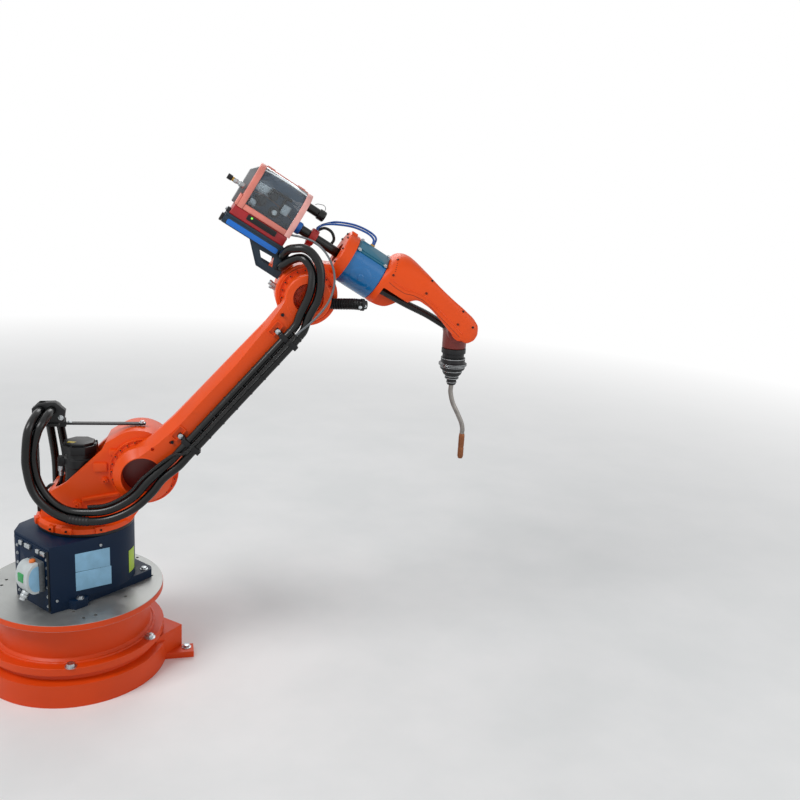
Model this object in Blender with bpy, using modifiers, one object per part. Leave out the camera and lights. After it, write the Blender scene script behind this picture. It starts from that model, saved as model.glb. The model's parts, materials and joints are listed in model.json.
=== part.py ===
"""A six-axis welding robot arm on its plinth, modelled with Blender.

Metres, +Z up, the floor at z = 0 and the first axis on the Z axis.
+X is the arm's plane at rest, and the viewer of the photo stands on -Y.
"""
import math

import bmesh
import bpy
from mathutils import Matrix, Vector

# Driving sizes of the plinth
PLINTH_X = -0.06
PLINTH_Y = -0.028
PLINTH_HEIGHT = 0.38
TOP_PLATE_RADIUS = 0.392
TOP_PLATE_THICKNESS = 0.03
DRUM_RADIUS = TOP_PLATE_RADIUS - 0.057
FLANGE_RADIUS = TOP_PLATE_RADIUS + 0.003
FLANGE_THICKNESS = 0.035
FLANGE_TOP = 0.18
FOOT_RADIUS = FLANGE_RADIUS + 0.015
EAR_REACH = FOOT_RADIUS + 0.11
EAR_WIDTH = 0.17
EAR_HEIGHT = 0.105

# Driving sizes of the base casting
BASE_TURN = math.radians(42.0)
BASE_HEIGHT = 0.300
BASE_RADIUS = 0.193
BASE_HALF_WIDTH = 0.163
BASE_REAR = 0.29
FOOT_PLATE_THICKNESS = 0.022
COLLAR_RADIUS = 0.201

# Driving sizes of the joints, with the lean of each link at rest
AXIS_2_REACH = 0.263
AXIS_2_HEIGHT = 0.569
LINK_LENGTH = 1.048
AXIS_4_OFFSET = 0.220
WRIST_REACH = 0.672
LINK_LEAN = math.radians(49.1)
FOREARM_LEAN = math.radians(30.3)

# Clearances
SEAT = 0.0003
RUN = 0.0006

# Driving sizes of the turning column
RING_RADIUS = 0.210
RING_THICKNESS = 0.034
COLUMN_NEAR = -0.095
COLUMN_FAR = 0.110
BOSS_X = 0.236
BOSS_Z = 0.600
BOSS_RADIUS = 0.154
MOTOR_X = -0.012
MOTOR_RADIUS = 0.060
MOTOR_TOP = 0.640
CAP_HEIGHT = 0.052
POCKET_GAP = 0.016
POCKET_FLOOR = 0.415
GEAR_RING_RADIUS = 0.134
GEAR_RING_DEPTH = 0.0195

# Driving sizes of the link arm
ARM_NEAR = -0.200
ARM_FAR = -0.1155
BEAM_NEAR = ARM_NEAR + 0.0015
LOW_RING_RADIUS = 0.115
LOW_BORE_RADIUS = 0.084
LOW_BORE_DEPTH = 0.068
TOP_RING_RADIUS = 0.097
TOP_BORE_RADIUS = 0.064
TOP_BORE_DEPTH = 0.062
HOSE_RADIUS = 0.018

# Driving sizes of the arm housing and forearm
HUB_RADIUS = 0.134
HUB_NEAR = -0.098
HUB_FAR = 0.090
BOLT_RING_RADIUS = 0.120
FLANGE_START = 0.028
FLANGE_END = 0.078
HOUSING_RING_RADIUS = 0.110
TUBE_HOLE_RADIUS = 0.046
CYLINDER_END = 0.2355
CYLINDER_RADIUS = 0.104
TUBE_RADIUS = 0.021

# Driving sizes of the feeder on its bracket
FEEDER_BACK = -0.455
FEEDER_FRONT = -0.190
FEEDER_NEAR = -0.104
TRAY_TOP = 0.120
BODY_TOP = 0.163
FRAME_TOP = 0.368
FRAME_WALL = 0.024
FRAME_FAR = 0.000
BOX_FAR = 0.095

HOLE_SIDES = 12
ROUND_SIDES = 48


def colour(code):
    """Turn a hex code into linear red, green and blue."""
    parts = [int(code[i:i + 2], 16) / 255 for i in (0, 2, 4)]
    return [c / 12.92 if c <= 0.04045 else ((c + 0.055) / 1.055) ** 2.4 for c in parts]


def finish(name, code, roughness, metallic=0.0):
    """Make, or find, a Principled material of one colour."""
    if name in bpy.data.materials:
        return bpy.data.materials[name]
    material = bpy.data.materials.new(name)
    material.use_nodes = True
    shader = material.node_tree.nodes["Principled BSDF"]
    shader.inputs["Base Color"].default_value = (*colour(code), 1.0)
    shader.inputs["Roughness"].default_value = roughness
    shader.inputs["Metallic"].default_value = metallic
    return material


def orange():
    return finish("orange_enamel", "e8501c", 0.35)


def navy():
    return finish("dark_base_enamel", "17233a", 0.45)


def black():
    return finish("black_enamel", "16181b", 0.45)


def rubber():
    return finish("black_hose_rubber", "121417", 0.55)


def steel():
    return finish("machined_steel", "9c9d9b", 0.35, 0.9)


def zinc():
    return finish("zinc_plate", "b4b8ba", 0.4, 0.8)


def part_collection():
    """The collection that holds the robot's pieces."""
    return bpy.data.collections["welding_robot"]


def settle(obj, name, material, parent, location=(0, 0, 0), turn=(0, 0, 0)):
    """Name a new object, give it its finish and place it under its frame."""
    obj.name = name
    obj.data.name = name
    obj.data.materials.clear()
    obj.data.materials.append(material)
    for home in list(obj.users_collection):
        home.objects.unlink(obj)
    part_collection().objects.link(obj)
    obj.parent = parent
    obj.location = location
    obj.rotation_euler = turn
    return obj


AXIS_TURN = {"X": (0, math.pi / 2, 0), "Y": (-math.pi / 2, 0, 0), "Z": (0, 0, 0)}


def cylinder(name, material, parent, radius, depth, location, axis="Z", sides=ROUND_SIDES):
    """A plain cylinder whose middle lies at the location."""
    bpy.ops.mesh.primitive_cylinder_add(vertices=sides, radius=radius, depth=depth)
    return settle(bpy.context.object, name, material, parent, location, AXIS_TURN[axis])


def box(name, material, parent, low, high, turn=(0, 0, 0)):
    """A box between two corners of the parent's frame."""
    bpy.ops.mesh.primitive_cube_add(size=1.0)
    obj = bpy.context.object
    size = [b - a for a, b in zip(low, high)]
    obj.data.transform(Matrix.Diagonal((*size, 1.0)))
    middle = [(a + b) / 2 for a, b in zip(low, high)]
    return settle(obj, name, material, parent, middle, turn)


def turned(name, material, parent, profile, location=(0, 0, 0), axis="Z", closed=False, sides=ROUND_SIDES):
    """Turn a profile of (radius, height) points about its own axis."""
    mesh = bpy.data.meshes.new(name)
    edges = [(i, i + 1) for i in range(len(profile) - 1)]
    if closed:
        edges.append((len(profile) - 1, 0))
    mesh.from_pydata([(r, 0.0, h) for r, h in profile], edges, [])
    obj = settle(bpy.data.objects.new(name, mesh), name, material, parent, location, AXIS_TURN[axis])
    screw = obj.modifiers.new("turn", "SCREW")
    screw.steps = sides
    screw.render_steps = sides
    screw.use_merge_vertices = True
    screw.merge_threshold = 0.0001
    return obj


def plate(name, material, parent, outline, thickness, location=(0, 0, 0), axis="Z", holes=()):
    """A flat outline, given as (x, y) points, extruded about its middle."""
    curve = bpy.data.curves.new(name, "CURVE")
    curve.dimensions = "2D"
    curve.fill_mode = "BOTH"
    curve.extrude = thickness / 2
    for loop in (outline, *holes):
        spline = curve.splines.new("POLY")
        spline.points.add(len(loop) - 1)
        for point, (x, y) in zip(spline.points, loop):
            point.co = (x, y, 0.0, 1.0)
        spline.use_cyclic_u = True
    drawn = bpy.data.objects.new(name, curve)
    mesh = bpy.data.meshes.new_from_object(drawn)
    bpy.data.objects.remove(drawn)
    turn = {"Z": (0, 0, 0), "Y": (math.pi / 2, 0, 0), "X": (math.pi / 2, 0, math.pi / 2)}[axis]
    shape = bmesh.new()
    shape.from_mesh(mesh)
    bmesh.ops.remove_doubles(shape, verts=shape.verts, dist=0.00005)
    bmesh.ops.recalc_face_normals(shape, faces=shape.faces)
    shape.to_mesh(mesh)
    shape.free()
    return settle(bpy.data.objects.new(name, mesh), name, material, parent, location, turn)


def tube(name, material, parent, points, radius, smooth=True):
    """A round tube along a route of points."""
    curve = bpy.data.curves.new(name, "CURVE")
    curve.dimensions = "3D"
    curve.bevel_depth = radius
    curve.bevel_resolution = 2
    curve.use_fill_caps = True
    route = soften(points) if smooth else points
    spline = curve.splines.new("POLY")
    spline.points.add(len(route) - 1)
    for point, place in zip(spline.points, route):
        point.co = (*place, 1.0)
    return settle(bpy.data.objects.new(name, curve), name, material, parent)


def soften(points, steps=3, stub=0.006):
    """Pass a Catmull-Rom curve through a route's points, with a short straight stub at each end."""
    ends = [Vector(points[0]), Vector(points[-1])]
    start = ends[0] + (Vector(points[1]) - ends[0]).normalized() * stub
    stop = ends[1] + (Vector(points[-2]) - ends[1]).normalized() * stub
    knots = [start, *[Vector(p) for p in points[1:-1]], stop]
    knots = [2 * knots[0] - knots[1], *knots, 2 * knots[-1] - knots[-2]]
    route = [ends[0]]
    for a, b, c, d in zip(knots, knots[1:], knots[2:], knots[3:]):
        for i in range(steps):
            t = i / steps
            route.append(0.5 * (2 * b + (c - a) * t + (2 * a - 5 * b + 4 * c - d) * t ** 2
                                + (3 * b - a - 3 * c + d) * t ** 3))
    route.extend([stop, ends[1]])
    return [tuple(p) for p in route]


def loft(name, material, parent, sections):
    """Bridge closed sections, each a list of as many (x, y, z) points, and close both ends."""
    shape = bmesh.new()
    loops = []
    for section in sections:
        verts = [shape.verts.new(p) for p in section]
        loops.append(verts)
        for a, b in zip(verts, verts[1:] + verts[:1]):
            shape.edges.new((a, b))
    for first, second in zip(loops, loops[1:]):
        ring = [e for e in shape.edges if all(v in first for v in e.verts) or all(v in second for v in e.verts)]
        bmesh.ops.bridge_loops(shape, edges=ring)
    shape.faces.new(loops[0])
    shape.faces.new(loops[-1])
    bmesh.ops.triangulate(shape, faces=shape.faces)
    bmesh.ops.recalc_face_normals(shape, faces=shape.faces)
    mesh = bpy.data.meshes.new(name)
    shape.to_mesh(mesh)
    shape.free()
    return settle(bpy.data.objects.new(name, mesh), name, material, parent)


def arc(x, y, radius, start, end, count):
    """Points of an arc, with its angles in degrees."""
    angles = [math.radians(start + (end - start) * i / (count - 1)) for i in range(count)]
    return [(x + radius * math.cos(a), y + radius * math.sin(a)) for a in angles]


def circle(x, y, radius, count=24):
    """Points of a full circle."""
    return arc(x, y, radius, 0, 360 - 360 / count, count)


def bevel(obj, width, segments=2, angle=50.0):
    """Round the sharp edges of an object."""
    edge = obj.modifiers.new("round", "BEVEL")
    edge.width = width
    edge.segments = segments
    edge.limit_method = "ANGLE"
    edge.angle_limit = math.radians(angle)
    return obj


def combine(obj, tool, operation):
    """Add a piece to an object, or cut it away, with a boolean."""
    step = obj.modifiers.new(operation.lower(), "BOOLEAN")
    step.operation = operation
    step.solver = "EXACT"
    step.object = tool
    tool.hide_render = True
    tool.display_type = "WIRE"
    part_collection().objects.unlink(tool)
    bpy.data.collections["cutters"].objects.link(tool)
    return obj


def add(obj, tool):
    return combine(obj, tool, "UNION")


def cut(obj, tool):
    return combine(obj, tool, "DIFFERENCE")


def drill(name, parent, places, radius, depth, axis="Z", sides=HOLE_SIDES):
    """One cutter of many drills, each with its middle at a place."""
    shape = bmesh.new()
    turn = Matrix.Rotation(math.pi / 2, 4, "X") if axis == "Y" else Matrix.Identity(4)
    if axis == "X":
        turn = Matrix.Rotation(math.pi / 2, 4, "Y")
    for place in places:
        spot = Matrix.Translation(place) @ turn
        bmesh.ops.create_cone(shape, cap_ends=True, segments=sides, radius1=radius, radius2=radius,
                              depth=depth, matrix=spot)
    mesh = bpy.data.meshes.new(name)
    shape.to_mesh(mesh)
    shape.free()
    return settle(bpy.data.objects.new(name, mesh), name, steel(), parent)


def frame(name, parent, location, turn=(0, 0, 0)):
    """An empty on a joint's axis, which carries the pieces of one body."""
    empty = bpy.data.objects.new(name, None)
    part_collection().objects.link(empty)
    empty.parent = parent
    empty.location = location
    empty.rotation_euler = turn
    return empty


def plinth(root):
    """Foot with its ear, flanged drum and drilled top plate."""
    at = (PLINTH_X, PLINTH_Y, 0.0)
    step = FLANGE_TOP - FLANGE_THICKNESS
    foot = turned("plinth_foot", orange(), root, [
        (0.0, step - SEAT), (FOOT_RADIUS - 0.045, step - SEAT), (FOOT_RADIUS - 0.040, step - 0.035),
        (FOOT_RADIUS, step - 0.045), (FOOT_RADIUS, 0.0), (0.0, 0.0)], at)
    ear = box("ear", orange(), root, (0.25, -EAR_WIDTH / 2, 0.0), (EAR_REACH - 0.06, EAR_WIDTH / 2, EAR_HEIGHT))
    lug = box("ear_lug", orange(), root, (0.40, -0.045, 0.0), (EAR_REACH, 0.045, 0.022))
    slot = drill("lug_hole", root, [(EAR_REACH - 0.025, 0.0, 0.01)], 0.009, 0.06)
    add(foot, ear)
    add(foot, lug)
    cut(foot, slot)
    drum_top = PLINTH_HEIGHT - TOP_PLATE_THICKNESS - SEAT
    turned("plinth_drum", orange(), root, [
        (0.0, drum_top), (DRUM_RADIUS + 0.012, drum_top), (DRUM_RADIUS, drum_top - 0.012),
        (DRUM_RADIUS, FLANGE_TOP + 0.016), (DRUM_RADIUS + 0.016, FLANGE_TOP),
        (FLANGE_RADIUS, FLANGE_TOP), (FLANGE_RADIUS, step), (0.0, step)], at)
    top = turned("plinth_top_plate", steel(), root, [
        (0.0, PLINTH_HEIGHT), (TOP_PLATE_RADIUS - 0.002, PLINTH_HEIGHT),
        (TOP_PLATE_RADIUS, PLINTH_HEIGHT - 0.002), (TOP_PLATE_RADIUS, drum_top + SEAT), (0.0, drum_top + SEAT)], at)
    spots = []
    for i in range(10):
        turn = math.radians(36 * i - 75)
        for reach in (TOP_PLATE_RADIUS - 0.035, TOP_PLATE_RADIUS - 0.075):
            spots.append((PLINTH_X + reach * math.cos(turn + reach), PLINTH_Y + reach * math.sin(turn + reach),
                          PLINTH_HEIGHT))
    cut(top, drill("top_plate_holes", root, spots, 0.008, 0.03))


def base(root):
    """The fixed base casting, turned on the plinth, with its connection panel."""
    home = frame("base_turn", root, (0, 0, PLINTH_HEIGHT + SEAT), (0, 0, BASE_TURN))
    wide = BASE_HALF_WIDTH
    rear = BASE_REAR
    box_outline = [(-rear, -wide), (0.05, -wide), (0.05, wide), (-rear + 0.10, wide), (-rear, 0.04)]
    body = cylinder("base_frame", navy(), home, BASE_RADIUS, BASE_HEIGHT, (0, 0, BASE_HEIGHT / 2), sides=56)
    cheek = plate("base_box", navy(), home, box_outline, BASE_HEIGHT - 0.012, (0, 0, (BASE_HEIGHT - 0.012) / 2))
    bevel(cheek, 0.008)
    foot_outline = [(-0.235, -wide - 0.018), (-0.10, -wide - 0.018), (-0.07, -wide), (0.14, -wide + 0.006),
                    (0.225, -wide + 0.006), (0.238, -0.12), (0.238, 0.12), (0.225, wide - 0.006),
                    (0.14, wide - 0.006), (-0.07, wide), (-0.10, wide + 0.018), (-0.235, wide + 0.018)]
    foot = plate("base_foot", navy(), home, foot_outline, FOOT_PLATE_THICKNESS, (0, 0, FOOT_PLATE_THICKNESS / 2))
    add(body, cheek)
    add(body, foot)
    turned("base_collar", black(), home, [
        (0.0, BASE_HEIGHT + 0.0148), (COLLAR_RADIUS - 0.004, BASE_HEIGHT + 0.0148),
        (COLLAR_RADIUS, BASE_HEIGHT + 0.011), (COLLAR_RADIUS, BASE_HEIGHT + SEAT), (0.0, BASE_HEIGHT + SEAT)])
    panel_x = -rear - SEAT
    panel = box("connection_panel", zinc(), home, (panel_x - 0.004, -wide + 0.002, 0.012),
                (panel_x, 0.03, BASE_HEIGHT - 0.02))
    lip = box("panel_lip", zinc(), home, (panel_x - 0.02, -wide + 0.002, 0.012),
              (panel_x - 0.002, -wide + 0.006, BASE_HEIGHT - 0.02))
    add(panel, lip)
    spot = (panel_x - 0.004 - SEAT, -0.09, 0.165)
    turned("connector_housing", finish("pale_housing", "c9cdce", 0.5), home, [
        (0.0, 0.0), (0.046, 0.0), (0.046, -0.034), (0.036, -0.056), (0.018, -0.066), (0.0, -0.068)],
        spot, "X", sides=32)
    tube("connector_gland", zinc(), home,
         [(spot[0] - 0.018, spot[1], spot[2] - 0.046 - SEAT), (spot[0] - 0.018, spot[1], spot[2] - 0.085)],
         0.015, False)


def column(axis):
    """The turning column: ring, swept casting, motor pocket, motors and gear ring."""
    ring_low = BASE_HEIGHT + 0.0148 + SEAT + RUN
    ring_top = ring_low + RING_THICKNESS
    body = turned("rotating_column", orange(), axis, [
        (0.0, ring_top), (RING_RADIUS - 0.014, ring_top), (RING_RADIUS, ring_top - 0.012),
        (RING_RADIUS, ring_low), (0.0, ring_low)])
    boss = arc(BOSS_X, BOSS_Z, BOSS_RADIUS, 158, -38, 22)
    side = [(-0.178, ring_low + 0.01), (-0.172, 0.415), (-0.140, 0.470), (-0.10, 0.498), (-0.008, 0.566),
            (0.050, 0.630), *boss, (0.300, 0.470), (0.200, ring_low + 0.01)]
    wide = COLUMN_FAR - COLUMN_NEAR
    casting = plate("column_casting", orange(), axis, side, wide, (0, (COLUMN_FAR + COLUMN_NEAR) / 2, 0), "Y")
    bevel(casting, 0.010, 2, 35)
    add(body, casting)
    for turn in (-118, -82, -60, 20, 62, 140):
        spot = Vector((RING_RADIUS * math.cos(math.radians(turn)), RING_RADIUS * math.sin(math.radians(turn)), 0))
        stop = box("ring_lug", orange(), axis, (spot.x - 0.018, spot.y - 0.02, ring_low + 0.003),
                   (spot.x + 0.018, spot.y + 0.02, ring_top - 0.003), (0, 0, math.radians(turn)))
        add(body, stop)
    pocket = box("motor_pocket", orange(), axis,
                 (MOTOR_X - MOTOR_RADIUS - POCKET_GAP - 0.01, -MOTOR_RADIUS - POCKET_GAP, POCKET_FLOOR),
                 (MOTOR_X + MOTOR_RADIUS + POCKET_GAP, MOTOR_RADIUS + POCKET_GAP, 0.80))
    bevel(pocket, 0.012, 3)
    cut(body, pocket)
    motor_low = POCKET_FLOOR + SEAT
    turned("a1_motor", black(), axis, [
        (0.0, MOTOR_TOP), (MOTOR_RADIUS - 0.006, MOTOR_TOP), (MOTOR_RADIUS - 0.006, MOTOR_TOP - 0.02),
        (MOTOR_RADIUS, MOTOR_TOP - 0.024), (MOTOR_RADIUS, motor_low), (0.0, motor_low)], (MOTOR_X, 0, 0), sides=32)
    cap_low = MOTOR_TOP + SEAT
    turned("a1_motor_cap", black(), axis, [
        (0.0, cap_low + CAP_HEIGHT), (MOTOR_RADIUS - 0.01, cap_low + CAP_HEIGHT),
        (MOTOR_RADIUS + 0.012, cap_low + CAP_HEIGHT - 0.012), (MOTOR_RADIUS + 0.012, cap_low), (0.0, cap_low)],
        (MOTOR_X, 0, 0), sides=8)
    motor_face = COLUMN_FAR + SEAT
    turned("a2_motor", black(), axis, [
        (0.0, 0.225), (0.05, 0.225), (0.062, 0.215), (0.062, 0.16), (0.056, 0.156), (0.056, 0.03),
        (0.085, 0.026), (0.085, 0.0), (0.0, 0.0)], (BOSS_X, motor_face, BOSS_Z), "Y", sides=32)
    gear_ring("a2_gear_ring", axis, (AXIS_2_REACH, COLUMN_NEAR - SEAT, AXIS_2_HEIGHT), GEAR_RING_RADIUS,
              GEAR_RING_DEPTH, 20)
    return ring_top


def gear_ring(name, axis, spot, radius, depth, count):
    """A gearbox ring that faces -Y, with a circle of bolt holes near its rim."""
    ring = turned(name, orange(), axis, [
        (0.0, 0.0), (radius, 0.0), (radius, -depth + 0.003), (radius - 0.003, -depth), (0.0, -depth)],
        spot, "Y")
    circle_radius = radius - 0.012
    spots = [(spot[0] + circle_radius * math.cos(2 * math.pi * i / count), spot[1] - depth,
              spot[2] + circle_radius * math.sin(2 * math.pi * i / count)) for i in range(count)]
    cut(ring, drill(name + "_holes", axis, spots, 0.0055, 0.012, "Y", 8))
    return ring


CLAMP_X = -0.135
CLAMP_Y = -0.085
CLAMP_RADIUS = 0.055
SHELF_TOP = 0.782


def hose_bracket(axis, ring_top):
    """The black bracket at the column's rear that carries the hose clamp."""
    leg = box("hose_bracket", black(), axis, (-0.204, -0.022, ring_top + SEAT), (-0.192, 0.018, SHELF_TOP - 0.004))
    side = box("bracket_side", black(), axis, (-0.204, -0.022, 0.742), (-0.070, -0.008, SHELF_TOP))
    shelf = box("bracket_shelf", black(), axis, (-0.185, -0.106, SHELF_TOP - 0.012), (-0.085, -0.015, SHELF_TOP))
    add(leg, side)
    add(leg, shelf)
    strut_z = BOSS_Z + BOSS_RADIUS + SEAT
    box("hose_strut", black(), axis, (-0.070 + SEAT, -0.034, strut_z), (BOSS_X + 0.03, -0.006, strut_z + 0.008))
    clamp_z = SHELF_TOP + SEAT + CLAMP_RADIUS
    turned("hose_clamp", black(), axis, [
        (CLAMP_RADIUS, 0.010), (CLAMP_RADIUS, -0.010), (0.045, -0.010), (0.045, 0.010)],
        (CLAMP_X, CLAMP_Y, clamp_z), "Y", True, 32)
    for side_step in (-1, 1):
        x = CLAMP_X + side_step * 0.0225
        reach = -0.125 + side_step * 0.024
        tube("riser_hose_1" if side_step < 0 else "riser_hose_2", rubber(), axis, [
            (x, CLAMP_Y + 0.005, clamp_z), (x, -0.02, clamp_z), (x, 0.05, clamp_z - 0.03),
            (x, 0.10, clamp_z - 0.13), (reach, 0.140, 0.55), (reach, 0.150, 0.43),
            (reach, 0.150, ring_top + SEAT)], HOSE_RADIUS)
    return clamp_z


def link_arm(axis):
    """The long box beam between two bored ring ends."""
    depth = ARM_FAR - ARM_NEAR
    beam_rows = [
        (0.060, 0.098, 0.080, -0.070, -0.098), (0.155, 0.083, 0.055, -0.034, -0.083),
        (0.280, 0.073, 0.036, -0.024, -0.071), (0.440, 0.069, 0.036, -0.022, -0.064),
        (0.640, 0.065, 0.034, -0.022, -0.060), (0.850, 0.060, 0.046, -0.027, -0.057),
        (0.950, 0.064, 0.060, -0.036, -0.062), (1.000, 0.076, 0.072, -0.060, -0.075)]
    near = BEAM_NEAR
    slope = ARM_NEAR + 0.050
    far = ARM_FAR - 0.0015
    sections = [[(x, near, high), (x, slope, top), (x, far, top), (x, far, foot), (x, slope, foot),
                 (x, near, low)] for x, top, high, low, foot in beam_rows]
    arm = loft("link_arm", orange(), axis, sections)
    low = turned("low_ring", orange(), axis, [
        (0.0, 0.0), (LOW_RING_RADIUS, 0.0), (LOW_RING_RADIUS, -depth + 0.006),
        (LOW_RING_RADIUS - 0.006, -depth), (0.0, -depth)], (0, ARM_FAR, 0), "Y")
    top = turned("top_ring", orange(), axis, [
        (0.0, 0.0), (TOP_RING_RADIUS, 0.0), (TOP_RING_RADIUS, -depth + 0.005),
        (TOP_RING_RADIUS - 0.005, -depth), (0.0, -depth)], (LINK_LENGTH, ARM_FAR, 0), "Y")
    add(arm, low)
    add(arm, top)
    bore = cylinder("low_bore", orange(), axis, LOW_BORE_RADIUS, 2 * LOW_BORE_DEPTH, (0, ARM_NEAR, 0), "Y")
    hole = cylinder("top_bore", orange(), axis, TOP_BORE_RADIUS, 2 * TOP_BORE_DEPTH, (LINK_LENGTH, ARM_NEAR, 0), "Y")
    cut(arm, drill("arm_holes", axis, [(0.126, ARM_NEAR, 0.050), (0.200, ARM_NEAR, 0.012),
                                       (0.925, ARM_NEAR, 0.034)], 0.008, 0.031, "Y"))
    cut(arm, bore)
    cut(arm, hole)
    return arm


HOSE_ROWS = ((-0.222, -0.036, HOSE_RADIUS), (-0.222, -0.0765, HOSE_RADIUS), (-0.2463 - 0.008 - SEAT, -0.055, 0.008))
CLIPS = (0.250, 0.860)
HOSE_START = 0.215
HOSE_END = 0.905


def arm_hoses(axis):
    """Hoses along the arm's lower near edge, held by two clips."""
    for number, (y, z, radius) in enumerate(HOSE_ROWS, 1):
        tube(f"arm_hose_{number}", rubber(), axis, [(HOSE_START, y, z), (HOSE_END, y, z)], radius, False)
    names = ("lower_hose_clip", "upper_hose_clip")
    for name, x in zip(names, CLIPS):
        face = BEAM_NEAR - SEAT
        clip = plate(name, zinc(), axis, [
            (face, 0.014), (-0.212, 0.014), (-0.212, -0.010), (-0.2463, -0.010), (-0.2463, -0.101),
            (-0.200, -0.101), (-0.200, -0.095), (-0.2403, -0.095), (-0.2403, -0.0175), (face, -0.0175)],
            0.022, (x, 0, 0), "X")
    return clip


def arm_housing(axis):
    """The elbow hub, its neck and the ring flange that the torch tube enters."""
    hub = turned("arm_housing", orange(), axis, [
        (0.0, HUB_FAR), (HUB_RADIUS - 0.012, HUB_FAR), (HUB_RADIUS, HUB_FAR - 0.012),
        (HUB_RADIUS, HUB_NEAR + 0.006), (HUB_RADIUS - 0.006, HUB_NEAR), (0.0, HUB_NEAR)], (0, 0, 0), "Y")
    neck = plate("housing_neck", orange(), axis, [
        (-0.098, 0.070), (-0.030, 0.140), (0.030, 0.168), (FLANGE_END - 0.001, 0.168),
        (FLANGE_END - 0.001, 0.090), (0.125, -0.045), (0.0, -0.10)], 0.150, (0, 0.005, 0), "Y")
    bevel(neck, 0.012)
    pad = box("bracket_pad", orange(), axis, (-0.190, -0.070, 0.0), (-0.09, 0.070, 0.075))
    ring = turned("housing_ring", orange(), axis, [
        (0.0, FLANGE_END), (HOUSING_RING_RADIUS, FLANGE_END), (HOUSING_RING_RADIUS, FLANGE_START + 0.006),
        (HOUSING_RING_RADIUS - 0.006, FLANGE_START), (0.0, FLANGE_START)], (0, 0, AXIS_4_OFFSET), "X")
    add(hub, bevel(pad, 0.006))
    add(hub, neck)
    add(hub, ring)
    hole = cylinder("tube_hole", orange(), axis, TUBE_HOLE_RADIUS, 0.09,
                    (FLANGE_START + 0.03, 0, AXIS_4_OFFSET), "X")
    cut(hub, hole)
    gear_ring("a3_bolt_ring", axis, (0, HUB_NEAR - SEAT, 0), BOLT_RING_RADIUS, 0.0165, 18)
    turned("a3_motor", black(), axis, [
        (0.0, 0.200), (0.046, 0.200), (0.054, 0.192), (0.054, 0.140), (0.050, 0.136), (0.050, 0.024),
        (0.072, 0.020), (0.072, 0.0), (0.0, 0.0)], (0, HUB_FAR + SEAT, 0), "Y", sides=32)
    return hub


def drive_cylinder(axis):
    """The glossy blue cylinder with its flat cover strip."""
    low = FLANGE_END + SEAT
    blue = finish("blue_enamel", "0b5f9e", 0.25)
    body = turned("drive_cylinder", blue, axis, [
        (0.0, CYLINDER_END), (CYLINDER_RADIUS - 0.004, CYLINDER_END), (CYLINDER_RADIUS, CYLINDER_END - 0.004),
        (CYLINDER_RADIUS, low), (0.0, low)], (0, 0, AXIS_4_OFFSET), "X")
    flat = AXIS_4_OFFSET + CYLINDER_RADIUS - 0.008
    cut(body, box("cover_flat", blue, axis, (low - 0.01, -0.08, flat), (CYLINDER_END + 0.01, 0.08, flat + 0.05)))
    strip = box("cylinder_cover", finish("teal_enamel", "0d6d7c", 0.35), axis,
                (low + 0.002, -0.040, flat + SEAT), (CYLINDER_END - 0.002, 0.040, flat + 0.011))
    return strip


def feeder_bracket(axis):
    """Two side plates with a window and the tray that the feeder stands on."""
    slate = finish("slate_enamel", "263844", 0.5)
    outline = [(-0.462, TRAY_TOP), (-0.468, 0.080), (-0.307, 0.062), (-0.249, 0.000), (-0.152, 0.004),
               (-0.158, 0.095), (-0.195, TRAY_TOP)]
    window = [(-0.278, 0.060), (-0.205, 0.064), (-0.200, 0.020), (-0.238, 0.014)]
    near = plate("feeder_bracket", slate, axis, outline, 0.010, (0, -0.070 - SEAT - 0.005, 0), "Y", [window])
    far = plate("bracket_far_side", slate, axis, outline, 0.010, (0, 0.070 + SEAT + 0.005, 0), "Y", [window])
    tray = box("bracket_tray", slate, axis, (-0.462, FEEDER_NEAR, TRAY_TOP - 0.012), (-0.197, BOX_FAR, TRAY_TOP))
    add(near, far)
    add(near, tray)
    return near


def arch_outline(inset, low):
    """The cover's outline in (y, z), with the far side open, moved in by the inset."""
    near = FEEDER_NEAR + inset
    top = FRAME_TOP - inset
    bend = 0.085
    return [(FRAME_FAR, low), (near, low), (near - 0.006, (low + top) / 2), *arc(
        near + bend, top - bend, bend, 172, 95, 7), (FRAME_FAR, top)]


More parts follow.
